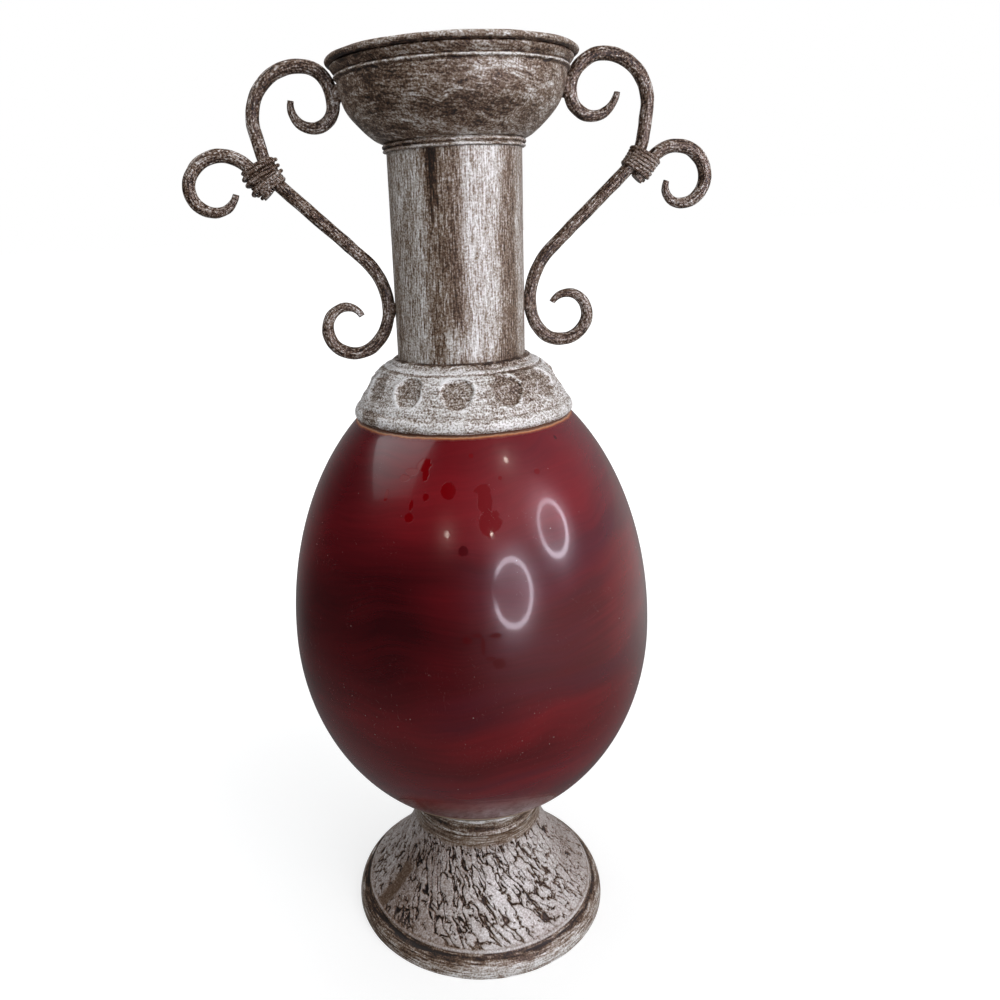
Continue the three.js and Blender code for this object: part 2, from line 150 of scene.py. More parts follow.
def deselect():
    if bpy.context.mode != "OBJECT":
        bpy.ops.object.mode_set(mode="OBJECT")
    bpy.ops.object.select_all(action="DESELECT")


def pick(piece):
    """Leaves one piece selected and active, in object mode."""
    deselect()
    bpy.context.view_layer.objects.active = piece
    piece.select_set(True)


def single_vertex(name, place):
    """A mesh of one selected vertex, open in edit mode."""
    deselect()
    bpy.ops.mesh.primitive_plane_add(size=MM, location=(0, 0, 0))
    piece = bpy.context.object
    piece.name = name
    piece.data.name = name
    bpy.ops.object.mode_set(mode="EDIT")
    bpy.ops.mesh.select_mode(type="VERT")
    bpy.ops.mesh.select_all(action="SELECT")
    bpy.ops.mesh.merge(type="CENTER")
    bpy.ops.transform.translate(value=place)
    return piece


def extrude_to(step):
    bpy.ops.mesh.extrude_region_move(TRANSFORM_OT_translate={"value": step})


def spun(name, outline, steps):
    """A closed outline of (radius, height) in metres, drawn in the XZ plane and spun round the axis."""
    piece = single_vertex(name, (outline[0][0], 0, outline[0][1]))
    for (r0, z0), (r1, z1) in zip(outline, outline[1:]):
        extrude_to((r1 - r0, 0, z1 - z0))
    bpy.ops.mesh.select_all(action="SELECT")
    bpy.ops.object.mode_set(mode="OBJECT")
    ends = [0, len(outline) - 1]
    for vertex in piece.data.vertices:
        vertex.select = vertex.index in ends
    for edge in piece.data.edges:
        edge.select = False
    bpy.ops.object.mode_set(mode="EDIT")
    bpy.ops.mesh.select_mode(type="VERT")
    bpy.ops.mesh.edge_face_add()
    bpy.ops.mesh.select_all(action="SELECT")
    bpy.ops.mesh.spin(steps=steps, angle=math.tau, center=(0, 0, 0), axis=(0, 0, 1))
    bpy.ops.mesh.select_all(action="SELECT")
    bpy.ops.mesh.remove_doubles(threshold=0.00001)
    bpy.ops.mesh.normals_make_consistent(inside=False)
    bpy.ops.object.mode_set(mode="OBJECT")
    return piece


def smooth(piece, degrees=35):
    pick(piece)
    bpy.ops.object.shade_smooth_by_angle(angle=math.radians(degrees))


def finish_piece(piece, material, slot, *nodes):
    """Gives a piece its material and its body, and hides the parts of the model that it stands for."""
    piece.data.materials.clear()
    piece.data.materials.append(material)
    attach(piece, BODY)
    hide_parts(*nodes)


def points_of(piece):
    points = np.empty(len(piece.data.vertices) * 3)
    piece.data.vertices.foreach_get("co", points)
    return points.reshape(-1, 3)


def set_points(piece, points):
    piece.data.vertices.foreach_set("co", np.ascontiguousarray(points, dtype=np.float32).ravel())
    piece.data.update()


def store(piece, name, values):
    """Keeps a number for each point of a piece, which its material reads."""
    layer = piece.data.attributes.new(name, "FLOAT", "POINT")
    layer.data.foreach_set("value", values.astype(np.float32))


def lumpy(piece, size, depth, seed):
    """Moves a surface in and out a little along its normals, as hand-worked metal is."""
    points = points_of(piece)
    normals = np.empty_like(points)
    piece.data.vertices.foreach_get("normal", normals.reshape(-1))
    shift = Vector((seed * 1.7, seed * 0.9, seed * 2.3))
    moved = [noise.noise(Vector(p) / size + shift) for p in points]
    set_points(piece, points + normals * (np.array(moved) * depth)[:, None])


def arc(centre, reach, start, end, count):
    """Points of an elliptical arc in degrees about (radius, height)."""
    angles = np.radians(np.linspace(start, end, count + 1))
    return [(centre[0] + reach[0] * math.cos(a), centre[1] + reach[1] * math.sin(a)) for a in angles]


def spline(points, spans):
    """A smooth profile through a few (radius, height) points, with that many spans between each two."""
    result = []
    padded = [points[0]] + list(points) + [points[-1]]
    for i in range(1, len(padded) - 2):
        p0, p1, p2, p3 = [np.array(padded[j]) for j in (i - 1, i, i + 1, i + 2)]
        for k in range(spans):
            t = k / spans
            square, cube = 2 * p0 - 5 * p1 + 4 * p2 - p3, 3 * p1 - p0 - 3 * p2 + p3
            result.append(tuple(0.5 * (2 * p1 + (p2 - p0) * t + square * t**2 + cube * t**3)))
    result.append(tuple(points[-1]))
    return result


def offset(profile, distance):
    """A profile that runs upwards, moved outwards by a distance."""
    result = []
    for i, (radius, height) in enumerate(profile):
        r0, z0 = profile[max(i - 1, 0)]
        r1, z1 = profile[min(i + 1, len(profile) - 1)]
        run = math.hypot(r1 - r0, z1 - z0)
        result.append((radius + distance * (z1 - z0) / run, height - distance * (r1 - r0) / run))
    return result


def thinned(profile, every):
    """Every so many points of a profile, with both its ends."""
    return profile[:-1:every] + [profile[-1]]


def lifted(profile, height):
    return [(r * MM, z * MM + height) for r, z in profile]


# Heights

# Gap left between pieces that sit on each other, and the radius where the collar rests on the egg
SEAT = 0.3 * MM
COLLAR_REST = 68.6 * MM

# Height of the beaded ring, and the collar's bore, in millimetres
RING_TALL = 4.8
COLLAR_BORE = 40.3

# Hole for the bolt, the step in from the foot's edge to the bell, and how fast the bell flares
BOLT_HOLE = 5.6 * MM
BELL_EDGE = 8.3 * MM
BELL_CURVE = 1.8

# Bark: the height where it ends, and the angle, half width and top of the plain seam in it
BARK_TOP = 57.5
SEAM_ANGLE = 66.5
SEAM_HALF = 6.2
SEAM_TOP = 32

# Dimples: how many, the first one's angle in degrees, where their centres lie, and the wall's lean there
DIMPLES = 12
FIRST_DIMPLE = -98.6
DIMPLE_HEIGHT = 21.6 * MM
DIMPLE_RADIUS = 58.5 * MM
DIMPLE_LEAN = math.atan2(5.2, 10.4)

# Height where the rod touches the neck, gap between bars that lie together, and the wire's advance in
# one turn, all in millimetres, and how thick a tip is as a share of its bar
ROD_START = 440.0
BARS_APART = 0.3
WIRE_PITCH = 2.12
TIP_SHARE = 0.46


def bell_base():
    return sizes().roll_height + SEAT


def bell_top():
    return bell_base() + sizes().bell_height


def egg_base():
    return bell_top() + SEAT + sizes().ferrule_height + SEAT


def egg_equator():
    size = sizes()
    return egg_base() + size.egg_lower * math.sqrt(1 - (size.egg_floor / size.egg_radius) ** 2)


def egg_height_at(radius):
    size = sizes()
    return egg_equator() + size.egg_upper * math.sqrt(1 - (radius / size.egg_radius) ** 2)


def neck_base():
    return egg_height_at(sizes().neck_radius - sizes().sheet) + SEAT


def neck_top():
    return neck_base() + sizes().neck_length


def ring_base():
    return neck_top() + SEAT


def bowl_base():
    return ring_base() + RING_TALL * MM + SEAT


def collar_base():
    return egg_height_at(COLLAR_REST - sizes().sheet - SEAT) + SEAT / 2


# Materials


def empty_tree(owner):
    """The node tree of a material or of the world, emptied."""
    owner.use_nodes = True
    owner.node_tree.nodes.clear()
    return owner.node_tree


class Finish:
    """A material being put together from nodes."""

    def __init__(self, name):
        self.material = bpy.data.materials.new(name)
        self.tree = empty_tree(self.material)
        self.shader = self.add("ShaderNodeBsdfPrincipled")
        output = self.add("ShaderNodeOutputMaterial")
        self.link(self.shader.outputs[0], output.inputs[0])
        place = self.add("ShaderNodeTexCoord").outputs["Object"]
        self.mm = self.scaled(place, (1 / MM, 1 / MM, 1 / MM))

    def add(self, kind, **settings):
        made = self.tree.nodes.new(kind)
        for key, value in settings.items():
            setattr(made, key, value)
        return made

    def link(self, source, target):
        self.tree.links.new(source, target)

    def feed(self, socket, value):
        if isinstance(value, bpy.types.NodeSocket):
            self.link(value, socket)
        elif socket.type == "RGBA" and not isinstance(value, (int, float)):
            socket.default_value = (*value[:3], 1)
        else:
            socket.default_value = value

    def math(self, operation, a, b=0.0):
        made = self.add("ShaderNodeMath", operation=operation)
        self.feed(made.inputs[0], a)
        self.feed(made.inputs[1], b)
        return made.outputs[0]

    def times(self, a, b):
        return self.math("MULTIPLY", a, b)

    def plus(self, a, b):
        return self.math("ADD", a, b)

    def minus(self, a, b):
        return self.math("SUBTRACT", a, b)

    def rest(self, value):
        """What is left of one."""
        return self.math("SUBTRACT", 1.0, value)

    def scaled(self, vector, factors):
        made = self.add("ShaderNodeVectorMath", operation="MULTIPLY")
        self.feed(made.inputs[0], vector)
        self.feed(made.inputs[1], factors)
        return made.outputs[0]

    def split(self, vector):
        return self.add_linked("ShaderNodeSeparateXYZ", vector).outputs

    def add_linked(self, kind, source):
        made = self.add(kind)
        self.link(source, made.inputs[0])
        return made

    def join(self, x, y, z):
        made = self.add("ShaderNodeCombineXYZ")
        for socket, value in zip(made.inputs, (x, y, z)):
            self.feed(socket, value)
        return made.outputs[0]

    def noise(self, vector, scale, detail=4.0, rough=0.6, distort=0.0):
        made = self.add("ShaderNodeTexNoise")
        self.link(vector, made.inputs["Vector"])
        made.inputs["Scale"].default_value = scale
        made.inputs["Detail"].default_value = detail
        made.inputs["Roughness"].default_value = rough
        made.inputs["Distortion"].default_value = distort
        return made.outputs[0]

    def specks(self, vector, scale):
        made = self.add("ShaderNodeTexVoronoi", feature="F1")
        self.link(vector, made.inputs["Vector"])
        made.inputs["Scale"].default_value = scale
        return made.outputs

    def step(self, value, low, high):
        """0 below low, 1 above high, smooth between."""
        made = self.add("ShaderNodeMapRange", interpolation_type="SMOOTHSTEP")
        self.feed(made.inputs["Value"], value)
        self.feed(made.inputs["From Min"], low)
        self.feed(made.inputs["From Max"], high)
        return made.outputs[0]

    def ramp(self, value, stops):
        """A colour read off a ramp of (place, colour) stops."""
        made = self.add_linked("ShaderNodeValToRGB", value)
        points = made.color_ramp.elements
        while len(points) < len(stops):
            points.new(0.5)
        for point, (place, tone) in zip(points, stops):
            point.position = place
            point.color = (*(srgb(tone) if isinstance(tone, str) else tone), 1)
        return made.outputs[0]

    def mix(self, share, a, b, blend="MIX"):
        made = self.add("ShaderNodeMix", data_type="RGBA", blend_type=blend)
        self.feed(made.inputs[0], share)
        self.feed(made.inputs[6], a)
        self.feed(made.inputs[7], b)
        return made.outputs[2]

    def attribute(self, name):
        return self.add("ShaderNodeAttribute", attribute_name=name).outputs["Fac"]

    def azimuth(self):
        """Degrees round the axis from the front, positive to the right."""
        x, y, _ = self.split(self.mm)
        angle = self.math("ARCTAN2", x, self.times(y, -1.0))
        return self.times(angle, 180 / math.pi)

    def grain(self, wide, tall):
        """Places shrunk to one unit per stroke, which is that wide round the axis and that tall along it."""
        return self.scaled(self.mm, (1 / wide, 1 / wide, 1 / tall))

    def bump(self, height, distance):
        made = self.add("ShaderNodeBump")
        made.inputs["Strength"].default_value = 1.0
        made.inputs["Distance"].default_value = distance * MM
        self.link(height, made.inputs["Height"])
        self.link(made.outputs[0], self.shader.inputs["Normal"])

    def surface(self, base, rough, metal=0.0):
        self.feed(self.shader.inputs["Base Color"], base)
        self.feed(self.shader.inputs["Roughness"], rough)
        self.shader.inputs["Metallic"].default_value = metal


# Antiqued paint from its deepest to its palest, each with its place on the ramp
PAINT = [
    (0.0, "1A0F09"), (0.2, "432D1E"), (0.36, "6B5340"), (0.5, "8E7D6F"), (0.66, "B7AEA8"), (0.84, "DFDBDA"),
    (1.0, "F5F3F4"),
]


def centred(made, value, gain):
    """A noise of mean one half, turned into a push of that gain to either side."""
    return made.times(made.minus(value, 0.5), gain)


def total(made, *parts):
    result = parts[0]
    for part in parts[1:]:
        result = made.plus(result, part)
    return result


def patch(made, across, height, centre, width, bottom, top, soft=0.35):
    """A soft-edged patch round an azimuth in degrees, between two heights in millimetres."""
    away = made.math("ABSOLUTE", made.minus(across, centre))
    share = made.rest(made.step(away, width * (1 - soft), width * (1 + soft)))
    edge = max(3.0, min(14.0, (top - bottom) * 0.3))
    up = made.step(height, bottom - edge, bottom + edge)
    down = made.rest(made.step(height, top - edge, top + edge))
    return made.times(share, made.times(up, down))


def patches(made, across, height, marks):
    """The sum of several patches, each with its own push up or down the paint's ramp."""
    return total(made, *[made.times(patch(made, across, height, *place), push) for *place, push in marks])


def rings(made, height, marks):
    """Narrow rings, each with its height, half width and push, broken up as a brush leaves them; some are
    painted shade and painted highlights.
    """
    wave = centred(made, made.noise(made.mm, 0.05, 2), 1.4)
    broken = made.step(made.noise(made.mm, 0.16, 3, 0.6), 0.34, 0.56)

    def ring(middle, half, push):
        away = made.math("ABSOLUTE", made.minus(made.plus(height, wave), middle))
        return made.times(made.rest(made.step(away, half * 0.5, half * 1.4)), push)

    drawn = total(made, *[ring(*mark) for mark in marks])
    return made.times(drawn, made.plus(0.45, made.times(broken, 0.55)))


def slanted(made, x, y, height, wide, tall):
    """Places shrunk to one unit per stroke, along a height that may be tilted."""
    return made.join(made.times(x, 1 / wide), made.times(y, 1 / wide), made.times(height, 1 / tall))


def grit(made, size=0.85):
    """Fine speckle of the dry brush, from a noise of one scale."""
    return made.noise(made.mm, size, 1, 0.6)


def painted(made, level, rough, bump, tint=None):
    """Finishes an antiqued paint whose tone at each point is given from 0, deepest, to 1, palest."""
    base = made.ramp(level, PAINT)
    if tint:
        base = made.mix(tint[0], base, tint[1], "SOFT_LIGHT")
    made.surface(base, rough)
    made.bump(level, bump)
    return made.material


def neck_paint():
    made = Finish("neck_paint")
    height = made.split(made.mm)[2]
    azimuth = total(made, made.azimuth(), centred(made, made.noise(made.grain(14, 55), 1.0, 3), 15.0))
    streaks = made.noise(made.grain(0.85, 9.0), 1.0, 3, 0.7)
    broad = made.noise(made.grain(9, 45), 1.0, 4, 0.6)
    # Patches of brown and pale paint; the pale band right of the front is pale paint with a painted sheen on
    # it
    marks = [
        (-25.0, 5.5, 498, 545, -0.3), (-15.0, 16.0, 395, 545, -0.10), (-7.0, 5.0, 405, 545, -0.06),
        (16.0, 17.0, 438, 545, 0.22), (14.0, 10.0, 395, 438, 0.12), (-4.0, 14.0, 408, 430, 0.26),
        (42.0, 11.0, 400, 505, -0.13), (62.0, 9.0, 395, 545, 0.1), (-48.0, 18.0, 395, 545, 0.1),
        (30.0, 34.0, 395, 413, -0.14), (150.0, 18.0, 395, 545, -0.14), (-120.0, 15.0, 395, 545, 0.16),
        (95.0, 14.0, 395, 545, 0.12),
    ]
    level = total(
        made, 0.5, patches(made, azimuth, height, marks), centred(made, broad, 0.45),
        centred(made, streaks, 1.6), centred(made, grit(made), 0.9),
        rings(made, height, [(396.2, 0.8, -0.3), (400.5, 0.5, -0.12)]),
    )
    green = made.rest(made.step(azimuth, -48, -26))
    return painted(made, level, 0.42, 0.12, (made.times(green, 0.18), srgb("7F8574")))


def bowl_paint():
    made = Finish("bowl_paint")
    x, y, z = made.split(made.mm)
    tilted = total(made, z, made.times(x, 0.16), centred(made, made.noise(made.mm, 0.06, 2), 8.0))
    dragged = made.noise(slanted(made, x, y, tilted, 6.5, 1.0), 1.0, 3, 0.7, 0.4)
    smudges = made.noise(slanted(made, x, y, tilted, 17, 5), 1.0, 4, 0.62)
    # Patches, partly painted light: the left side, the low front and the band under the lip are darker as
    # painted shade, and the patches right of the front on the wall, the bead and the lip's top are lighter as
    # painted light
    marks = [
        (16.0, 13.0, 562, 574, 0.16), (38.0, 20.0, 545, 569, 0.06), (-50.0, 22.0, 535, 590, -0.09),
        (4.0, 26.0, 536, 552, -0.08), (12.0, 16.0, 528, 536, 0.28), (130.0, 30.0, 540, 590, -0.08),
        (-140.0, 30.0, 540, 575, 0.08), (0.0, 400.0, 572, 575.5, -0.09), (10.0, 60.0, 577, 590, 0.16),
    ]
    # Rings, partly painted light: the dark lines under the lip and under the ridge are painted shade, and the
    # pale lines on the ridge and on the upper bead are painted highlights
    bands = [
        (576.2, 0.7, -0.34), (571.0, 0.5, -0.3), (569.9, 0.5, 0.28), (568.3, 0.7, -0.24), (531.7, 0.45, -0.3),
        (530.0, 0.6, 0.22), (533.0, 0.5, 0.18),
    ]
    level = total(
        made, 0.43, patches(made, made.azimuth(), z, marks), rings(made, z, bands),
        centred(made, smudges, 1.0), centred(made, dragged, 1.4), centred(made, grit(made), 1.0),
    )
    return painted(made, level, 0.48, 0.16)


def collar_paint():
    made = Finish("collar_paint")
    z = made.split(made.mm)[2]
    strokes = made.noise(made.grain(7, 1.0), 1.0, 2, 0.65)
    broad = made.noise(made.mm, 0.055, 3, 0.6)
    pit = made.attribute("dimple")
    rim = made.attribute("dimple_rim")
    marks = [
        (33.0, 9.0, 385, 402, -0.10), (-62.0, 8.0, 372, 382, -0.26), (-40.0, 12.0, 372, 378, -0.2),
        (30.0, 24.0, 399, 412, -0.18), (0.0, 180.0, 372, 381, 0.10), (-10.0, 30.0, 400.5, 406, 0.10),
        (-5.0, 40.0, 407, 412, -0.12), (20.0, 14.0, 383, 398, -0.08),
    ]
    bands = [
        (381.6, 0.7, -0.16), (404.2, 0.5, -0.3), (405.6, 0.7, 0.22), (409.6, 0.8, -0.42), (374.6, 0.5, -0.2),
    ]
    level = total(
        made, 0.73, patches(made, made.azimuth(), z, marks), rings(made, z, bands),
        centred(made, broad, 0.45), centred(made, grit(made, 0.9), 1.5), centred(made, strokes, 0.9),
        made.times(pit, -0.2),
        made.times(made.times(rim, made.step(broad, 0.46, 0.58)), 0.4),
    )
    return painted(made, level, 0.5, 0.14, (0.4, srgb("86888A")))


def foot_paint():
    made = Finish("foot_paint")
    z = made.split(made.mm)[2]
    strokes = made.noise(made.grain(13, 0.9), 1.0, 3, 0.7)
    broad = made.noise(made.grain(24, 6), 1.0, 4, 0.6)
    # Patches, partly painted light: the left is darker as painted shade and the low front lighter as painted
    # light, over the band's own brown and pale paint
    marks = [
        (0.0, 400.0, 9.6, 16, -0.22), (-55.0, 28.0, -5, 16, -0.1), (-30.0, 14.0, 4, 12, -0.12),
        (5.0, 40.0, -5, 8, 0.14), (50.0, 25.0, -5, 9, 0.03),
    ]
    level = total(
        made, 0.53, patches(made, made.azimuth(), z, marks), rings(made, z, [(11.4, 0.7, -0.3)]),
        centred(made, broad, 0.7), centred(made, strokes, 1.9), centred(made, grit(made), 0.8),
    )
    return painted(made, level, 0.48, 0.14)


def bark_paint():
    made = Finish("bark_paint")
    pad = made.attribute("pad")
    z = made.split(made.mm)[2]
    broad = made.noise(made.mm, 0.04, 3, 0.55)
    strokes = made.noise(made.grain(14, 0.9), 1.0, 3, 0.6)
    crown = made.step(z, 69, 72.5)
    # Patches, partly painted light: the left is darker as painted shade and the right of the front lighter as
    # painted light
    marks = [(-55.0, 22.0, 10, 70, -0.1), (25.0, 40.0, 10, 70, 0.1)]
    level = total(
        made, 0.0, made.times(made.step(pad, 0.08, 0.72), 0.52), made.times(made.step(pad, 0.6, 1.0), 0.18),
        patches(made, made.azimuth(), z, marks), centred(made, broad, 0.3), centred(made, grit(made), 0.6),
        made.times(crown, centred(made, strokes, 1.4)), made.times(crown, -0.06),
    )
    pink = made.times(made.step(pad, 0.4, 0.9), made.minus(0.6, made.times(crown, 0.6)))
    return painted(made, level, 0.42, 0.12, (pink, srgb("8B8189")))


def brown_paint():
    made = Finish("brown_paint")
    z = made.split(made.mm)[2]
    strokes = made.noise(made.grain(12, 0.9), 1.0, 3, 0.65)
    broad = made.noise(made.mm, 0.07, 4, 0.6)
    marks = [(8.0, 9.0, 88, 95, -0.2), (-60.0, 30.0, 80, 98, -0.04), (22.0, 10.0, 82, 97, 0.12)]
    level = total(
        made, 0.41, patches(made, made.azimuth(), z, marks), centred(made, broad, 0.8),
        centred(made, strokes, 1.5), centred(made, grit(made), 0.9),
        rings(made, z, [(79.2, 0.7, 0.24), (81.5, 0.5, -0.12), (89.4, 1.7, 0.5), (83.0, 1.2, -0.2)]),
    )
    return painted(made, level, 0.45, 0.14)


def bar_paint(name, cover, size):
    """Dark forged bar, dry-brushed along its length; the attributes along, side and face follow the bar."""
    made = Finish(name)
    round_bar = handle_sizes().bar_radius / MM
    way = made.join(
        made.times(made.attribute("along"), 1 / 6.5),
        made.times(made.attribute("side"), round_bar / 0.9),
        made.times(made.attribute("face"), round_bar / 0.9),
    )
    drawn = made.noise(way, 1.0, 2, 0.6)
    broad = made.noise(made.mm, 0.07, 3, 0.6)
    level = total(
        made, cover, centred(made, broad, 0.8), centred(made, drawn, 1.6),
        centred(made, grit(made, size), 1.5),
    )
    return painted(made, level, 0.4, 0.16, (0.35, srgb("857A80")))


def zinc():
    tones = finishes()
    made = Finish("zinc_plate")
    cloud = made.noise(made.mm, 0.25, 4, 0.6)
    scratch = made.noise(made.grain(0.4, 6), 1.0, 3, 0.6)
    base = made.mix(made.step(cloud, 0.3, 0.7), tones.zinc, srgb("7F8287"))
    made.surface(base, made.plus(made.times(scratch, 0.25), 0.25), 0.9)
    made.bump(scratch, 0.03)
    return made.material


# Places on the lacquer, each an ellipse: azimuth in degrees, then height, half width and half height
CHIPS = [
    (0.3, 346.5, 4.4, 2.8), (0.9, 340.0, 4.2, 6.8), (2.0, 330.6, 6.6, 5.6), (1.0, 325.6, 3.2, 2.8),
    (-12.1, 346.8, 4.2, 4.4), (-22.4, 358.8, 4.4, 3.4), (-21.2, 354.4, 2.0, 3.4), (-27.2, 355.4, 4.0, 2.0),
    (-29.8, 352.0, 3.2, 1.8), (-35.8, 342.2, 1.4, 3.2), (-20.0, 343.2, 1.9, 2.0), (-25.4, 332.4, 2.5, 2.8),
    (-25.2, 339.0, 1.3, 2.8), (23.4, 352.4, 1.7, 1.6), (7.6, 351.7, 1.1, 1.0), (-2.9, 363.3, 1.4, 1.2),
]
RUNS = [
    (-7.1, 316.5, 3.0, 3.0), (-6.7, 268.2, 3.0, 2.0), (-3.9, 270.8, 3.2, 1.2), (-2.4, 265.0, 1.2, 5.4),
    (-0.6, 257.2, 3.0, 1.2), (1.9, 253.9, 3.6, 3.2), (1.3, 270.2, 3.2, 1.6), (-62.2, 228.0, 1.2, 9.0),
    (41.0, 366.0, 1.2, 1.2),
]


def ellipses(made, azimuth, height, places, ragged):
    """Least distance to any of the ellipses, 1 on their edges, roughened by a noise."""
    least = None
    for centre, middle, wide, tall in places:
        radius = egg_radius_at(middle) / MM
        dx = made.times(made.minus(azimuth, centre), math.radians(1) * radius / wide)
        dz = made.times(made.minus(height, middle), 1 / tall)
        away = made.math("SQRT", made.plus(made.times(dx, dx), made.times(dz, dz)))
        least = away if least is None else made.math("MINIMUM", least, away)
    return made.plus(least, ragged)


def egg_radius_at(height):
    """Radius of the egg at a height in millimetres."""
    size = sizes()
    above = height * MM - egg_equator()
    reach = size.egg_upper if above > 0 else size.egg_lower
    return size.egg_radius * math.sqrt(max(0.0, 1 - (above / reach) ** 2))


def lacquer():
    """Glossy lacquer: maroon in slanting bands, with a plum haze of painted reflection, chips, runs, specks
    and scratches.
    """
    tones = finishes()
    made = Finish("lacquer")
    x, y, z = made.split(made.mm)
    azimuth = made.azimuth()
    warp = made.noise(made.mm, 0.011, 2, 0.5)
    slant = total(made, z, made.times(x, -0.10), centred(made, warp, 46))
    bands = made.noise(slanted(made, x, y, slant, 150, 32), 1.0, 3, 0.5)
    brush = made.noise(slanted(made, x, y, slant, 40, 1.7), 1.0, 3, 0.6)
    marks = [
        (5.0, 60.0, 300, 314, -0.16), (60.0, 28.0, 296, 318, 0.2), (-46.0, 26.0, 240, 305, -0.24),
        (-10.0, 24.0, 232, 300, -0.1), (5.0, 44.0, 322, 372, 0.3), (52.0, 14.0, 225, 296, 0.2),
        (30.0, 24.0, 195, 222, 0.14), (15.0, 40.0, 215, 230, -0.1), (0.0, 400.0, 100, 175, 0.25),
        (60.0, 26.0, 318, 372, 0.1), (130.0, 40.0, 250, 280, -0.2), (-120.0, 50.0, 290, 330, 0.2),
        (180.0, 30.0, 180, 220, 0.2),
    ]
    tone = total(
        made, 0.52, patches(made, azimuth, slant, marks), centred(made, bands, 1.0),
        centred(made, brush, 0.34),
    )
    base = made.ramp(tone, [(0.05, tones.lacquer_dark), (0.5, tones.lacquer), (0.95, tones.lacquer_bright)])
    # Painted reflection: a plum haze round the ring highlights and low on the egg, broken up by a noise
    marks = [
        (22.0, 26.0, 285, 318, 0.4), (62.0, 16.0, 296, 318, 0.4), (18.0, 34.0, 214, 232, 0.4),
        (15.0, 16.0, 240, 275, 0.3), (50.0, 40.0, 340, 372, 0.16), (0.0, 400.0, 100, 180, 0.5),
        (-150.0, 40.0, 240, 300, 0.4),
    ]
    drift = made.noise(slanted(made, x, y, slant, 70, 12), 1.0, 3, 0.55)
    cloud = made.times(patches(made, azimuth, slant, marks), made.step(drift, 0.25, 0.7))
    base = made.mix(cloud, base, tones.lacquer_reflection_haze)

    fleck = made.noise(made.mm, 0.32, 3, 0.6)
    ragged = centred(made, fleck, 0.9)
    chips = ellipses(made, azimuth, z, CHIPS, ragged)
    runs = ellipses(made, azimuth, z, RUNS, ragged)
    base = made.mix(made.rest(made.step(chips, 0.92, 1.04)), base, tones.chip)
    base = made.mix(made.rest(made.step(runs, 0.85, 1.05)), base, srgb("4C0006"))

    marks = [(-50.0, 20.0, 285, 330, 0.12), (-25.0, 45.0, 190, 250, 0.10), (30.0, 40.0, 180, 235, 0.06)]
    worn = made.plus(made.noise(made.mm, 0.035, 3, 0.6), patches(made, azimuth, z, marks))
    dust = made.specks(made.mm, 0.42)
    kept = made.step(made.split(dust["Color"])[0], made.minus(1.50, worn), made.minus(1.60, worn))
    size = made.plus(0.05, made.times(made.split(dust["Color"])[1], 0.13))
    speck = made.times(made.math("LESS_THAN", dust["Distance"], size), kept)
    scuff = made.noise(made.grain(0.45, 7.0), 1.0, 2, 0.5, 2.2)
    nick = made.noise(slanted(made, x, y, made.plus(z, x), 4.5, 0.55), 1.0, 2, 0.5, 1.2)
    scratch = made.math("MAXIMUM", made.step(scuff, 0.70, 0.75), made.step(nick, 0.72, 0.77))
    scratch = made.times(scratch, made.step(worn, 0.54, 0.68))
    marks = made.math("MAXIMUM", made.times(speck, 0.4), made.times(scratch, 0.3))
    base = made.mix(marks, base, srgb("B9A7A0"))

    edge = centred(made, made.noise(made.mm, 0.2, 3, 0.6), 1.6)
    # Bare copper at the collar's edge; its pale stop is a painted highlight, and the dark brown at the top is
    # a painted shadow under the collar
    stops = [(0.05, "4A0D10"), (0.28, "7E3524"), (0.5, tones.copper), (0.66, "BF9070"), (0.84, "6B4634")]
    line = made.plus(z, edge)
    bare = made.ramp(made.step(line, 369.8, 373.4), stops)
    top = made.step(line, 370.2, 371.6)
    low = made.rest(made.step(line, 118.3, 119.3))
    foot = made.rest(made.step(line, 114.6, 115.8))
    base = made.mix(top, base, bare)
    base = made.mix(low, base, tones.cream)
    base = made.mix(foot, base, srgb("45342A"))
    bare = made.math("MAXIMUM", top, low)
    wet = made.rest(made.step(made.math("MINIMUM", chips, runs), 0.9, 1.03))
    rough = total(made, 0.25, made.times(bare, 0.24), made.times(marks, 0.3), made.times(wet, -0.2))
    made.surface(base, rough)
    depth = made.minus(made.step(chips, 0.9, 1.05), made.times(marks, 0.2))
    made.bump(total(made, depth, made.times(brush, 0.12)), 0.06)
    made.shader.inputs["Specular IOR Level"].default_value = 0.4
    made.shader.inputs["Coat Weight"].default_value = 0.4
    made.shader.inputs["Coat Roughness"].default_value = 0.07
    return made.material


# Operators


class BuildFootRing(bpy.types.Operator):
    """Spins the rounded band round the foot."""

    bl_idname = "vase.foot_ring"
    bl_label = "Foot Ring"

    def execute(self, context):
        size = sizes()
        outer = size.foot_radius / MM
        top = size.roll_height / MM
        rest = outer - 9
        wall = 84.2
        profile = arc((wall, 0.0), (outer - wall, 11.6), 0, 62, 14)
        profile += [(87.3, 10.6), (86.4, 11.2), (85.4, 11.9), (84.7, 12.6), (wall, top)]
        profile += [
            (82.6, top), (82.6, 11.6), (86.0, 7.6), (88.4, 3.6), (89.3, SHEET), (rest, SHEET), (rest, 0.0),
        ]
        piece = spun("rounded_foot_band", lifted(profile, 0), 200)
        lumpy(piece, 0.02, 0.00015, 1)
        smooth(piece)
        finish_piece(piece, foot_paint(), "antique_paint", "foot_ring")
        return {"FINISHED"}


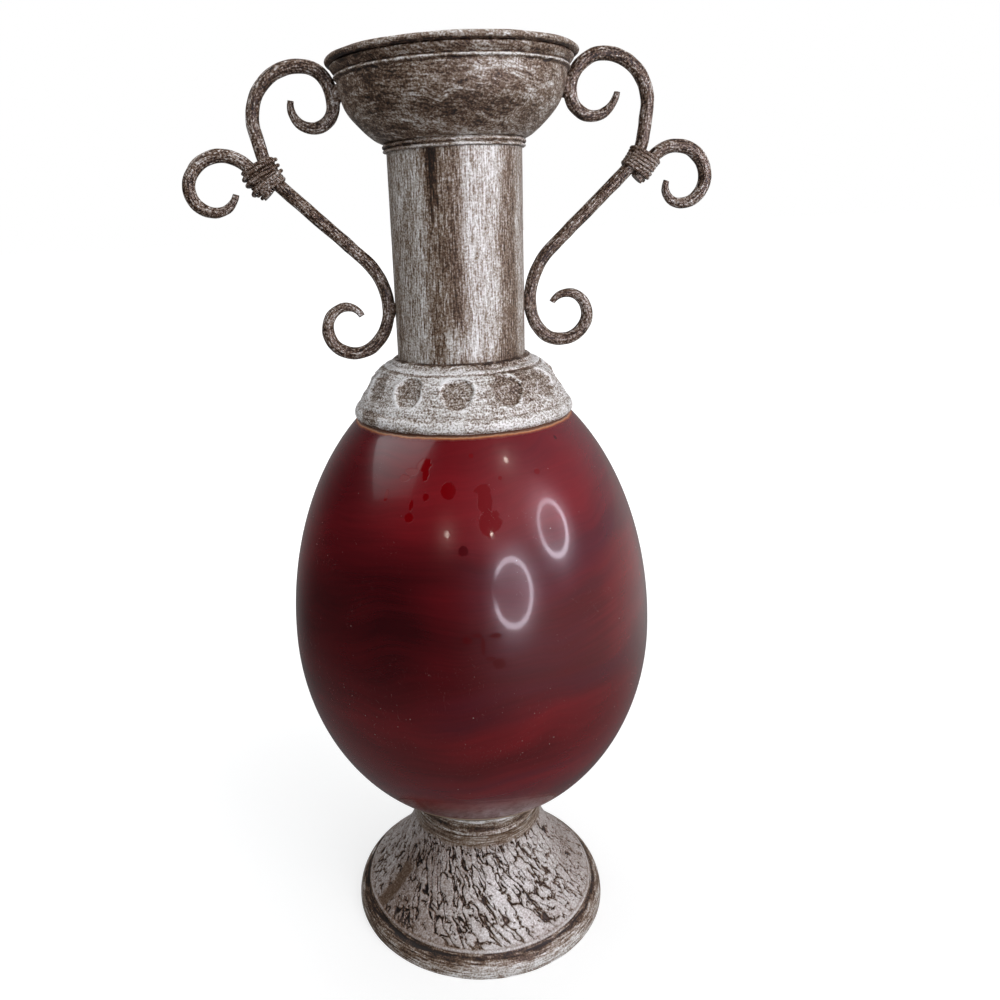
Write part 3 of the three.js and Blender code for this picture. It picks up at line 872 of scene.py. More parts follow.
def ring_noise(angle, height, around, tall, seed):
    """Smooth noise from 0 to 1 that closes on itself round the axis."""
    table = np.random.default_rng(seed).random((64, around))
    u = (angle / math.tau) % 1.0 * around
    v = height / tall
    i, j = np.floor(u).astype(int), np.floor(v).astype(int)
    fu, fv = u - i, v - j
    fu, fv = fu * fu * (3 - 2 * fu), fv * fv * (3 - 2 * fv)
    i0, i1, j0, j1 = i % around, (i + 1) % around, j % 64, (j + 1) % 64
    low = table[j0, i0] * (1 - fu) + table[j0, i1] * fu
    high = table[j1, i0] * (1 - fu) + table[j1, i1] * fu
    return low * (1 - fv) + high * fv


def bark_pads(angle, along):
    """Height from 0 to 1 of the bark, at an angle round the foot and at millimetres up its slope."""
    front = np.degrees((angle + 1.5 * math.pi) % math.tau - math.pi)
    lean = 0.02 + 0.12 * np.exp(-(((front - 14) / 46) ** 2))
    turned = angle + lean * (along - 40) * math.tau / 96
    sway = (ring_noise(turned, along, 60, 7.5, 11) - 0.5) * 0.030 + (
        ring_noise(turned, along, 150, 3.4, 12) - 0.5
    ) * 0.022
    turned = turned + sway
    shift = along + (ring_noise(turned, along, 80, 5.0, 13) - 0.5) * 5.0

    def crevice(around, tall, seed, rough):
        """Distance from the winding zero line of a noise, which is where a crevice runs."""
        value = ring_noise(turned, shift, around, tall, seed) - 0.5
        value = value + (ring_noise(turned, shift, around * 2 + 9, tall * 0.42, seed + 1) - 0.5) * rough
        value = value + (ring_noise(turned, shift, around * 4 + 5, tall * 0.2, seed + 2) - 0.5) * rough * 0.42
        return np.abs(value)

    broken = ring_noise(turned, along, 110, 5.0, 16)
    wide = 0.078 + 0.034 * broken
    long = crevice(92, 12.0, 21, 0.5) / wide
    short = crevice(112, 5.2, 31, 0.6) / (wide * 0.7) + np.clip((0.54 - broken) * 9, 0, 3)
    cut = np.minimum(long, short)
    pad = np.clip((cut - 0.12) / 1.0, 0, 1)
    pad = pad * pad * (3 - 2 * pad)
    knobs = ring_noise(angle, along, 190, 2.4, 15) * 0.6 + ring_noise(angle, along, 380, 1.2, 17) * 0.4
    return np.clip(pad * (0.74 + 0.36 * knobs), 0, 1)


def bell_flare():
    """How much wider the bell is at its base than at its top."""
    return sizes().foot_radius - BELL_EDGE - sizes().bell_top


def bell_radius(share):
    """Radius of the bell at a share of its height, for one share or an array of them."""
    return sizes().bell_top + bell_flare() * (1 - share) ** BELL_CURVE


class BuildFootBell(bpy.types.Operator):
    """Spins the foot's bell and raises its bark texture."""

    bl_idname = "vase.foot_bell"
    bl_label = "Foot Bell"

    def execute(self, context):
        size = sizes()
        base, top = bell_base(), bell_top()
        spans = 31
        outer = [(bell_radius(i / spans), base + size.bell_height * i / spans) for i in range(spans + 1)]
        inner = [(bell_radius(i / 10), base + size.bell_height * i / 10) for i in range(11)]
        inner = offset(inner, -size.sheet)
        inner[0] = (inner[0][0], base)
        shelf = inner.pop()[0]
        under = top - size.sheet
        outline = outer + [(BOLT_HOLE, top), (BOLT_HOLE, under), (shelf, under)] + inner[::-1]
        piece = spun("bark_bell", outline, 190)
        points = points_of(piece)
        radius = np.hypot(points[:, 0], points[:, 1])
        share = np.clip((points[:, 2] - base) / size.bell_height, 0, 1)
        skin = np.abs(radius - bell_radius(share)) < 0.2 * MM
        pick(piece)
        for vertex, flag in zip(piece.data.vertices, skin):
            vertex.select = bool(flag)
        for edge in piece.data.edges:
            edge.select = all(skin[i] for i in edge.vertices)
        for face in piece.data.polygons:
            face.select = all(skin[i] for i in face.vertices)
        bpy.ops.object.mode_set(mode="EDIT")
        bpy.ops.mesh.select_mode(type="FACE")
        bpy.ops.mesh.subdivide(number_cuts=3)
        bpy.ops.object.mode_set(mode="OBJECT")
        points = points_of(piece)
        radius = np.hypot(points[:, 0], points[:, 1])
        share = np.clip((points[:, 2] - base) / size.bell_height, 0, 1)
        true_radius = bell_radius(share)
        skin = np.abs(radius - true_radius) < 0.35 * MM
        angle = np.arctan2(points[:, 1], points[:, 0])
        steepness = BELL_CURVE * bell_flare() * (1 - share) ** (BELL_CURVE - 1) / size.bell_height
        slope = np.hypot(1, steepness)
        height = (points[:, 2] - base) / MM
        table = np.linspace(0, 1, 400)
        drop = BELL_CURVE * 0.6 * (1 - table) ** (BELL_CURVE - 1)
        run = np.cumsum(np.hypot(1, drop)) / 400 * size.bell_height / MM
        along = np.interp(share, table, run)
        pad = bark_pads(angle, along)
        ragged = (ring_noise(angle, along, 130, 3.0, 20) - 0.5) * 3.0
        fade = np.clip((height - 1.5) / 0.8, 0, 1) * np.clip((BARK_TOP + ragged - height) / 3.0, 0, 1)
        seam = (np.degrees(angle) + 90 + SEAM_ANGLE - 0.12 * (height - 18)) * radius / MM * math.radians(1)
        plain = np.clip((SEAM_HALF + ragged * 0.6 - np.abs(seam)) / 2.2, 0, 1)
        plain = plain * np.clip((SEAM_TOP - height) / 5, 0, 1)
        fade = fade * (1 - plain)
        bead = np.exp(-(((height - 0.7) / 0.6) ** 2))
        lift = (pad - 0.8) * fade * size.pad_height + bead * 0.6 * MM - plain * 0.35 * MM
        lift = np.where(skin & (height > 0.05) & (share < 0.999), lift, 0)
        outward = np.stack([np.cos(angle) / slope, np.sin(angle) / slope, steepness / slope], axis=1)
        flat = points.copy()
        flat[skin, 0] = (true_radius * np.cos(angle))[skin]
        flat[skin, 1] = (true_radius * np.sin(angle))[skin]
        set_points(piece, flat + outward * lift[:, None])
        level = pad * fade + (1 - fade) * (0.62 - 0.05 * plain + 0.38 * bead)
        store(piece, "pad", np.where(skin, level, 0.5))
        smooth(piece, 60)
        finish_piece(piece, bark_paint(), "bark_cast", "foot_bell")
        return {"FINISHED"}


class BuildFootFerrule(bpy.types.Operator):
    """Spins the cove between the foot and the egg."""

    bl_idname = "vase.foot_ferrule"
    bl_label = "Foot Ferrule"

    def execute(self, context):
        base = bell_top() + SEAT
        tall = sizes().ferrule_height / MM
        cove = [
            (44.9, 0), (44.6, 0.6), (43.8, 3), (43.4, tall * 0.38), (44.3, tall * 0.6), (46.2, tall * 0.8),
            (49.0, tall * 0.95), (50.2, tall),
        ]
        outer = spline(cove, 5)
        inner = [(radius, min(max(height, 0), tall)) for radius, height in offset(thinned(outer, 3), -SHEET)]
        piece = spun("brown_cove", lifted(outer + inner[::-1], base), 160)
        lumpy(piece, 0.012, 0.0003, 2)
        smooth(piece)
        finish_piece(piece, brown_paint(), "brown_paint", "foot_ferrule")
        return {"FINISHED"}


def half_egg(inset, reach, start, end, count):
    size = sizes()
    widest = size.egg_radius - inset
    angles = np.linspace(math.acos(start / widest), math.acos(end / widest), count + 1)
    tall = reach - inset if reach > 0 else reach + inset
    return [(widest * math.cos(a), egg_equator() + tall * math.sin(a)) for a in angles]


class BuildEgg(bpy.types.Operator):
    """Spins the lacquered egg."""

    bl_idname = "vase.egg"
    bl_label = "Egg"

    def execute(self, context):
        size = sizes()
        floor_top = egg_base() + size.sheet
        floor_radius = (size.egg_radius - size.sheet) * math.sqrt(
            1 - ((egg_equator() - floor_top) / (size.egg_lower - size.sheet)) ** 2
        )
        outer = half_egg(0, -size.egg_lower, size.egg_floor, size.egg_radius, 60)
        outer += half_egg(0, size.egg_upper, size.egg_radius, size.egg_mouth, 70)[1:]
        inner = half_egg(size.sheet, -size.egg_lower, floor_radius, size.egg_radius - size.sheet, 30)
        inner += half_egg(size.sheet, size.egg_upper, size.egg_radius - size.sheet, size.egg_mouth, 34)[1:]
        outline = [(BOLT_HOLE, egg_base())] + outer + inner[::-1] + [(BOLT_HOLE, floor_top)]
        piece = spun("lacquered_egg", outline, 200)
        smooth(piece)
        finish_piece(piece, lacquer(), "red_lacquer", "egg_lower_half", "egg_upper_half")
        return {"FINISHED"}


def collar_profile():
    """Outline of the collar in millimetres, from its foot up."""
    tall = sizes().collar_height / MM
    return [
        (68.5, 0), (69.2, 0.9), (69.6, 2.6), (69.3, 4.6), (68.4, 6.4), (66.9, 7.6), (66.1, 8.6), (65.6, 10.2),
        (63.6, 13.2), (61.6, 16.2), (59.8, 19.4), (58.5, 22.0), (57.7, 24.0), (57.2, 24.8), (55.6, 26.0),
        (53.4, 28.2), (51.0, 30.0), (49.6, 30.5), (49.0, 30.9), (48.6, 31.8), (47.2, 32.3), (45.2, 32.5),
        (44.6, 32.9), (44.2, 34.0), (43.2, 34.9), (42.2, 35.6), (COLLAR_BORE, tall),
    ]


class BuildCollar(bpy.types.Operator):
    """Spins the collar and presses its dimples."""

    bl_idname = "vase.collar"
    bl_label = "Collar"

    def execute(self, context):
        size = sizes()
        base = collar_base()
        outer = spline(collar_profile(), 4)
        inner = offset(thinned(outer, 6), -SHEET)
        inner[0] = (inner[0][0], 0)
        inner[-1] = (COLLAR_BORE, inner[-1][1])
        piece = spun("dimpled_collar", lifted(outer + inner[::-1], base), 480)
        points = points_of(piece)
        radius = np.hypot(points[:, 0], points[:, 1])
        angle = np.arctan2(points[:, 1], points[:, 0])
        rise, reach_out = points[:, 2] - base - DIMPLE_HEIGHT, radius - DIMPLE_RADIUS
        slant = DIMPLE_LEAN
        deep = np.zeros(len(points))
        dark = np.zeros(len(points))
        rim = np.zeros(len(points))
        rng = np.random.default_rng(5)
        for k in range(DIMPLES):
            middle = math.radians(FIRST_DIMPLE + 360 / DIMPLES * k)
            wide = size.dimple_width / 2 * (1 + 0.06 * (rng.random() - 0.5))
            turned = (angle - middle + math.pi) % math.tau - math.pi
            across = turned * radius
            up = rise * math.cos(slant) - reach_out * math.sin(slant)
            through = reach_out * math.cos(slant) + rise * math.sin(slant)
            way = np.arctan2(up, across)
            edge = 1 + 0.045 * np.sin(3 * way + k) + 0.02 * np.sin(7 * way + 2 * k)
            reach = np.hypot(across, up * 0.95) / (wide * edge)
            near = (reach < 1.35) & (np.abs(through) < 6 * MM)
            wall = np.clip((1.03 - reach) / 0.15, 0, 1)
            bowl = wall * wall * (3 - 2 * wall) * (0.7 + 0.3 * np.clip(1 - reach**2, 0, 1))
            lip = np.exp(-(((reach - 1.1) / 0.1) ** 2))
            deep = np.where(near, np.maximum(deep, bowl), deep)
            dark = np.where(near, np.maximum(dark, np.clip((1.02 - reach) / 0.1, 0, 1)), dark)
            rim = np.where(near, np.maximum(rim, lip), rim)
        flat, steep = math.cos(slant), np.full(len(angle), math.sin(slant))
        outward = np.stack([np.cos(angle) * flat, np.sin(angle) * flat, steep], axis=1)
        set_points(piece, points - outward * (deep * size.dimple_depth - rim * 0.25 * MM)[:, None])
        store(piece, "dimple", dark)
        store(piece, "dimple_rim", rim)
        lumpy(piece, 0.012, 0.0003, 3)
        smooth(piece, 60)
        finish_piece(piece, collar_paint(), "pale_paint", "collar")
        return {"FINISHED"}


class BuildNeck(bpy.types.Operator):
    """Spins the neck tube."""

    bl_idname = "vase.neck"
    bl_label = "Neck"

    def execute(self, context):
        size = sizes()
        outer = size.neck_radius
        inner = outer - size.sheet
        spans = 60
        wall = [(outer, neck_base() + size.neck_length * i / spans) for i in range(spans + 1)]
        piece = spun("straight_neck", wall + [(inner, neck_top()), (inner, neck_base())], 180)
        smooth(piece)
        finish_piece(piece, neck_paint(), "antique_paint", "neck_tube")
        return {"FINISHED"}


class BuildMouth(bpy.types.Operator):
    """Spins the neck ring and the mouth bowl."""

    bl_idname = "vase.mouth"
    bl_label = "Mouth"

    def execute(self, context):
        inner = (sizes().neck_radius - sizes().sheet) / MM
        ring = [(inner, 0), (41.2, 0)] + arc((41.2, 0.75), (0.9, 0.75), -90, 90, 8) + [(41.0, 1.9)]
        ring += arc((41.0, 3.1), (1.35, 1.2), -85, 85, 10) + [(40.9, RING_TALL), (inner, RING_TALL)]
        piece = spun("beaded_ring", lifted(ring, ring_base()), 180)
        lumpy(piece, 0.008, 0.00018, 4)
        smooth(piece)
        finish_piece(piece, bowl_paint(), "antique_paint", "neck_ring")

        wall = [
            (42.6, 0), (43.8, 0.6), (46.8, 2.2), (51.4, 5.9), (56.1, 10.7), (60.1, 15.4), (62.8, 19.8),
            (64.6, 25.0), (65.6, 30.0), (66.2, 33.8),
        ]
        wall = spline(wall, 6)
        rim = [
            (66.9, 34.3), (67.6, 34.8), (67.8, 35.4), (67.4, 36.0), (66.7, 36.4), (66.9, 37.0), (68.2, 38.2),
            (69.3, 39.8), (69.5, 40.8), (68.8, 41.7),
        ]
        rim = spline(rim, 4)
        lip = arc((69.4, 43.6), (2.9, 2.0), -75, 172, 16)
        back = [(66.0, 41.5), (64.9, 38.5)] + offset(wall[::3], -SHEET)[:0:-1]
        outline = wall + rim + lip + back + [(inner, SHEET), (inner, 0)]
        piece = spun("flared_bowl", lifted(outline, bowl_base()), 220)
        lumpy(piece, 0.018, 0.0004, 6)
        smooth(piece)
        finish_piece(piece, bowl_paint(), "antique_paint", "mouth_bowl")
        return {"FINISHED"}


# Bends of each handle as (radius, turn in degrees) or (0, straight length), in millimetres, in their order
LEFT = {
    "rod": [
        (41.19, -46.69), (0, 63.78), (27.0, 33.75), (0, 16.59), (27.59, 112.18), (16.87, 56.36),
        (24.31, 27.02), (12.23, 190.89),
    ],
    "scroll": [(29, 47), (18.3, 78), (14.2, 112), (10.5, 97)],
    "branch": [(21.88, -60.11), (20.49, -65.38), (14.03, -125.55), (13.35, -68.37)],
    "bound": 107.9, "tail": 12.4, "turns": 8, "loose": 3, "shift": -1.6,
}
RIGHT = {
    "rod": [
        (43.8, -47.18), (0, 61.37), (32.78, 40.11), (0, 13.61), (27.59, 95.47), (18.75, 101.05),
        (13.67, 136.36), (19.24, 21.29),
    ],
    "scroll": [(29, 36), (17.5, 97), (14, 96), (11.7, 97)],
    "branch": [(26.59, -20.88), (18.87, -127.17), (13.91, -100.49), (9.74, -99.66)],
    "bound": 106.0, "tail": 9.0, "turns": 6, "loose": 0, "shift": 0.0,
}


def bend_length(radius, amount):
    return amount if radius == 0 else abs(math.radians(amount)) * radius


def follow(start, bends):
    """The end of a chain of bends (radius, degrees) or straights (0, length), all in millimetres."""
    x, z, heading = start
    for radius, amount in bends:
        if radius == 0:
            x += amount * math.cos(heading)
            z += amount * math.sin(heading)
            continue
        turn = math.radians(amount)
        side = 1 if turn > 0 else -1
        cx, cz = x - side * radius * math.sin(heading), z + side * radius * math.cos(heading)
        heading += turn
        x, z = cx + side * radius * math.sin(heading), cz - side * radius * math.cos(heading)
    return x, z, heading


def partway(start, bends, distance):
    """The place and heading at a distance along a chain of bends."""
    state = start
    for radius, amount in bends:
        size = bend_length(radius, amount)
        if distance <= size:
            return follow(state, [(radius, amount * distance / size)])
        state = follow(state, [(radius, amount)])
        distance -= size
    return state


def bend_bar(name, start, bends, side, sides=16, step=1.6):
    """A round bar made by spinning and extruding a disc along its bends, in the XZ plane."""
    radius = handle_sizes().bar_radius
    x, z, heading = start
    deselect()
    turn = side * (math.pi / 2 - heading)
    bpy.ops.mesh.primitive_circle_add(
        vertices=sides, radius=radius, fill_type="NGON", location=(side * x * MM, 0, z * MM),
        rotation=(0, turn, 0),
    )
    piece = bpy.context.object
    piece.name = name
    piece.data.name = name
    bpy.ops.object.transform_apply(location=True, rotation=True, scale=True)
    bpy.ops.object.mode_set(mode="EDIT")
    bpy.ops.mesh.select_mode(type="FACE")
    bpy.ops.mesh.select_all(action="SELECT")
    for bend_radius, amount in bends:
        if bend_radius == 0:
            count = max(1, round(amount / 4))
            span = amount / count * MM
            for _ in range(count):
                extrude_to((side * math.cos(heading) * span, 0, math.sin(heading) * span))
        else:
            turn = math.radians(amount)
            hand = 1 if turn > 0 else -1
            cx, cz = x - hand * bend_radius * math.sin(heading), z + hand * bend_radius * math.cos(heading)
            count = max(2, round(abs(turn) * bend_radius / step))
            bpy.ops.mesh.spin(steps=count, angle=turn, center=(side * cx * MM, 0, cz * MM), axis=(0, side, 0))
        x, z, heading = follow((x, z, heading), [(bend_radius, amount)])
    return piece


class BuildHandles(bpy.types.Operator):
    """Bends the main rods and the branch rods of both handles, and winds their wires."""

    bl_idname = "vase.handles"
    bl_label = "Handles"

    def execute(self, context):
        for name, bends, side in (("left", LEFT, -1), ("right", RIGHT, 1)):
            build_handle(name, bends, side)
        return {"FINISHED"}


def centre_line(start, bends, step=1.0):
    """Closely spaced points along a chain of bends."""
    points = [start[:2]]
    state = start
    for radius, amount in bends:
        size = bend_length(radius, amount)
        count = max(1, round(size / step))
        for _ in range(count):
            state = follow(state, [(radius, amount / count)])
            points.append(state[:2])
    return points


def draw_out(piece, line, side, taper_start, taper_end):
    """Thins a bar towards its tips, and stores where each point lies along and round it."""
    size = handle_sizes()
    line = np.array(line) * MM
    line[:, 0] *= side
    lengths = np.concatenate([[0], np.cumsum(np.hypot(*np.diff(line, axis=0).T))])
    points = points_of(piece)
    flat = points[:, [0, 2]]
    nearest = np.argmin(((flat[:, None, :] - line[None, :, :]) ** 2).sum(axis=2), axis=1)
    place = lengths[nearest]
    scale = np.ones(len(points))
    for used, distance in ((taper_start, place), (taper_end, lengths[-1] - place)):
        if used:
            drawn = np.clip(distance / size.taper, 0, 1)
            scale *= TIP_SHARE + (1 - TIP_SHARE) * np.sin(drawn * math.pi / 2)
    centre = np.stack([line[nearest, 0], np.zeros(len(points)), line[nearest, 1]], axis=1)
    way = np.gradient(line, axis=0)
    way /= np.hypot(*way.T)[:, None]
    out = points - centre
    across = out[:, 2] * way[nearest, 0] - out[:, 0] * way[nearest, 1]
    store(piece, "along", place / MM)
    store(piece, "side", across / size.bar_radius)
    store(piece, "face", out[:, 1] / size.bar_radius)
    set_points(piece, centre + out * scale[:, None])


def close_bar(piece):
    """Merges a bar's double points and turns its faces outwards."""
    pick(piece)
    bpy.ops.object.mode_set(mode="EDIT")
    bpy.ops.mesh.select_all(action="SELECT")
    bpy.ops.mesh.remove_doubles(threshold=0.00001)
    bpy.ops.mesh.normals_make_consistent(inside=False)
    bpy.ops.object.mode_set(mode="OBJECT")


def build_handle(name, bends, side):
    bar = handle_sizes().bar_radius / MM
    start = (sizes().neck_radius / MM + BARS_APART + bar, ROD_START, math.pi / 2)
    rod_bends, lower = bends["rod"], bends["scroll"]
    # The bar is bent in one go from its lower tip, so the scroll's chain is walked backwards first
    x, z, heading = follow((start[0], start[1], -math.pi / 2), lower)
    back = [(radius, -turn) for radius, turn in reversed(lower)]
    tip = (x, z, heading + math.pi)
    rod = bend_bar(f"scroll_bar_{name}", tip, back + rod_bends, side)
    close_bar(rod)
    draw_out(rod, centre_line(tip, back + rod_bends), side, True, True)
    lumpy(rod, 0.006, 0.0003, 7 + side)
    smooth(rod, 60)
    iron = bpy.data.materials.get("bar_paint") or bar_paint("bar_paint", 0.36, 0.8)
    finish_piece(rod, iron, "wrought_iron", f"handle_rod_{name}")

    # The branch bar lies along the main one up to the binding, and leaves it there
    apart = 2 * bar + BARS_APART
    kink = rod_bends[2][0]
    x, z, heading = partway(start, rod_bends, bends["bound"] - bends["tail"] * kink / (kink + apart))
    end = (x + apart * math.sin(heading), z - apart * math.cos(heading), heading)
    branch_bends = [(kink + apart, math.degrees(bends["tail"] / (kink + apart)))] + bends["branch"]
    branch = bend_bar(f"branch_bar_{name}", end, branch_bends, side)
    close_bar(branch)
    draw_out(branch, centre_line(end, branch_bends), side, False, True)
    lumpy(branch, 0.006, 0.0003, 9 + side)
    smooth(branch, 60)
    finish_piece(branch, iron, "wrought_iron", f"branch_rod_{name}")

    rod_way, branch_way = (start, rod_bends, bends["bound"]), (end, branch_bends, bends["tail"])
    wire = wind_wire(f"binding_wire_{name}", bends, rod_way, branch_way, side)
    smooth(wire, 60)
    paint = bpy.data.materials.get("wire_paint") or bar_paint("wire_paint", 0.42, 0.9)
    finish_piece(wire, paint, "iron_wire", f"wire_wrap_{name}")


def wind_wire(name, bends, rod, branch, side):
    """Binding wire wound round both bars, a little unevenly, with a few loose turns over the first layer."""
    size = handle_sizes()
    radius = size.wire_radius / MM
    per_turn = 20
    turns, loose = bends["turns"], bends["loose"]
    rng = np.random.default_rng(21 + side)
    wobble = rng.random(turns + loose + 2) - 0.5
    points = []
    for i in range((turns + loose) * per_turn + 1):
        turn = i / per_turn
        over = max(0.0, turn - turns)
        distance = bends["shift"] + (min(turn, turns) - turns / 2 - over * 2.1) * WIRE_PITCH
        distance += (0.5 if over == 0 else 1.6) * float(np.interp(turn, range(turns + loose + 2), wobble))
        reach = size.bar_radius / MM + radius * (0.95 + 1.9 * min(1.0, over / 0.3))
        angle = math.tau * turn + 0.4
        where, chain, middle = branch if math.cos(angle) > 0 else rod
        x, z, heading = partway(where, chain, middle + distance)
        out = reach * math.cos(angle)
        across, up = x + out * math.sin(heading), z - out * math.cos(heading)
        points.append((side * across * MM, reach * math.sin(angle) * MM, up * MM))
    deselect()
    bpy.ops.curve.primitive_nurbs_path_add(location=(0, 0, 0))
    path = bpy.context.object
    path.name = name
    path.data.name = name
    line = path.data.splines[0]
    line.points.add(len(points) - len(line.points))
    for point, place in zip(line.points, points):
        point.co = (*place, 1)
    line.use_endpoint_u = True
    line.order_u = 4
    line.resolution_u = 2
    path.data.bevel_depth = size.wire_radius
    path.data.bevel_resolution = 3
    path.data.use_fill_caps = True
    bpy.ops.object.convert(target="MESH")
    piece = bpy.context.object
    piece.data.name = name
    return piece


class BuildWelds(bpy.types.Operator):
    """Lays uneven weld beads where each bar meets the neck and the bowl."""

    bl_idname = "vase.welds"
    bl_label = "Welds"

    def execute(self, context):
        paint = bpy.data.materials.get("bar_paint")
        for name in ("left", "right"):
            for face in ("front", "back"):
                for kind in ("neck", "bowl"):
                    solid = f"{kind}_weld_{name}_{face}"
                    low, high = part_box(solid)
                    centre = [(a + b) / 2 for a, b in zip(low, high)]
                    deselect()
                    bpy.ops.mesh.primitive_ico_sphere_add(subdivisions=4, radius=1.0, location=(0, 0, 0))
                    bead = bpy.context.object
                    bead.name = f"weld_{kind}_{name}_{face}"
                    bead.data.name = bead.name
                    reach = [(b - a) / 2 * 1.02 for a, b in zip(low, high)]
                    set_points(bead, points_of(bead) * reach + centre)
                    lumpy(bead, 0.0025, 0.0007, seed_of(solid))
                    smooth(bead, 80)
                    finish_piece(bead, paint, "wrought_iron", solid)
        return {"FINISHED"}


def seed_of(text):
    return sum(ord(letter) * (i + 1) for i, letter in enumerate(text)) % 97


class BuildBolt(bpy.types.Operator):
    """Finishes the bolt, its nut and its washers."""

    bl_idname = "vase.bolt"
    bl_label = "Bolt"

    def execute(self, context):
        paint = zinc()
        for node in ("foot_bolt", "bolt_washer_lower", "bolt_washer_upper", "foot_nut"):
            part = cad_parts[node]
            part.data.materials.clear()
            part.data.materials.append(paint)
        return {"FINISHED"}


class BuildStudio(bpy.types.Operator):
    """Sets the camera, the floor, the world and the lamps."""

    bl_idname = "vase.studio"
    bl_label = "Studio"

    def execute(self, context):
        context.scene.view_settings.view_transform = "Standard"
        photo_camera()
        white_floor()
        studio_world()
        softbox("key_softbox", (1.0, -1.05, 1.05), (0, 0, 0.3), 1.0, 1.1, 17)
        softbox("left_window", (-0.74, -0.23, 1.05), (-0.04, -0.07, 0.36), 0.42, 0.6, 1.4)
        softbox("top_softbox", (0.1, 0.3, 1.7), (0, 0, 0.35), 1.0, 1.0, 7)
        for number, lamp in enumerate(RING_LAMPS, 1):
            ring_lamp(number, *lamp)
        for number, lamp in enumerate(BULBS, 1):
            bulb(number, *lamp)
        window()
        soft_panels()
        return {"FINISHED"}


# Where the gloss sees light: a direction, its cosines from low to high, and its strengths from low to high.
# The white backdrop stands behind the vase, and the room before it is bright on the right only
ROOM_GLOW = ((0.9, -0.35, 0.2), 0.0, 0.9, 0.02, 0.42)
BACK_GLOW = ((0.3, 0.95, 0.0), 0.1, 1.0, 0.0, 0.2)
WARM_GLOW = (1.0, 0.9, 1.04)
ROOM_TONE = (0.98, 0.9, 1.04)
EVEN_TONE = (0.95, 0.98, 1.0)
BULB_TONE = (1.0, 0.88, 0.78)
WINDOW_TONE = (0.95, 0.97, 1.0)

# Places on the egg that the lamps are aimed at
UPPER_GLINT = (0.04, -0.092, 0.323)
LOWER_GLINT = (0.013, -0.11, 0.293)

# Ring lamps as (place, aim, radius, span of their glow), and bulbs as (place, radius, strength)
RING_LAMPS = [
    ((0.756, -0.542, 0.630), UPPER_GLINT, 0.166, ((0.4, 0.3, -0.86), -1.0, 0.6, 13.0, 22.0)),
    ((0.336, -0.945, 0.380), LOWER_GLINT, 0.198, ((0.9, 0.38, -0.2), -1.0, -0.75, 1.0, 19.0)),
]
BULBS = [
    ((0.43, -0.48, 1.17), 0.027, 34), ((-0.33, -0.92, 0.79), 0.024, 24), ((0.19, -0.97, 0.78), 0.017, 22),
]
PANELS = [((1.02, -0.78, 0.95), UPPER_GLINT), ((0.55, -1.35, 0.52), LOWER_GLINT)]


def node(where, kind, *links, **settings):
    """A new node of a tree, with its settings and a link from each (socket, source)."""
    made = where.nodes.new(kind)
    for key, value in settings.items():
        setattr(made, key, value)
    for socket, source in links:
        where.links.new(source, made.inputs[socket])
    return made


def reckoned(where, operation, a, b):
    return node(where, "ShaderNodeMath", (0, a), (1, b), operation=operation).outputs[0]


def ranged(where, value, span, curve="SMOOTHSTEP"):
    """A value brought from one range to another, given as the low and high of each."""
    made = node(where, "ShaderNodeMapRange", ("Value", value), interpolation_type=curve)
    for socket, number in zip(("From Min", "From Max", "To Min", "To Max"), span):
        made.inputs[socket].default_value = number
    return made


def own_place(where, operation, output=0):
    """The place in a shape's own coordinates, put through a vector operation."""
    place = node(where, "ShaderNodeTexCoord").outputs["Object"]
    return node(where, "ShaderNodeVectorMath", (0, place), operation=operation).outputs[output]


def glow_towards(where, way, direction, *span):
    """A smooth rise towards a direction, from cosine to cosine and from strength to strength."""
    side = node(where, "ShaderNodeVectorMath", (0, way), operation="DOT_PRODUCT")
    side.inputs[1].default_value = direction
    return ranged(where, side.outputs["Value"], span).outputs[0]


def ray_share(where, gloss, seen=None):
    """One value for the camera's rays, which is 1 if none is given, and another for reflected rays."""
    path = node(where, "ShaderNodeLightPath").outputs
    clear = reckoned(where, "MAXIMUM", path["Is Camera Ray"], path["Is Transmission Ray"])
    if seen is not None:
        clear = reckoned(where, "MULTIPLY", clear, seen)
    return reckoned(where, "MAXIMUM", clear, reckoned(where, "MULTIPLY", path["Is Glossy Ray"], gloss))


def facing(place, aim, axis):
    return (Vector(aim) - Vector(place)).to_track_quat(axis, "Y").to_euler()


# Camera: its angle round the vase, its yaw, pitch and roll, all in degrees, and its shift to the side
CAMERA_ANGLE = 5.5
CAMERA_YAW = 3.45
CAMERA_PITCH = 18.05
CAMERA_ROLL = 2.67
CAMERA_SHIFT = 0.0628


def photo_camera():
    """The camera, where the photograph's own camera stood."""
    studio = bpy.context.scene.vase_studio
    turn = math.radians(CAMERA_ANGLE)
    place = Vector((-studio.distance * math.sin(turn), -studio.distance * math.cos(turn), studio.height))
    yaw, pitch, roll = math.radians(CAMERA_YAW), math.radians(CAMERA_PITCH), math.radians(CAMERA_ROLL)
    forward = Vector((math.sin(yaw) * math.cos(pitch), math.cos(yaw) * math.cos(pitch), -math.sin(pitch)))
    right = Vector((math.cos(yaw), -math.sin(yaw), 0))
    down = forward.cross(right)
    rolled_right = math.cos(roll) * right + math.sin(roll) * down
    rolled_down = -math.sin(roll) * right + math.cos(roll) * down
    bpy.ops.object.camera_add(location=place)
    camera = bpy.context.object
    camera.name = "photo_camera"
    basis = Matrix((rolled_right, -rolled_down, -forward)).transposed()
    camera.matrix_world = Matrix.Translation(place) @ basis.to_4x4()
    camera.data.lens = studio.lens
    camera.data.sensor_width = 36
    camera.data.sensor_fit = "HORIZONTAL"
    camera.data.shift_x = CAMERA_SHIFT
    camera.data.clip_start = 0.01
    bpy.context.scene.camera = camera


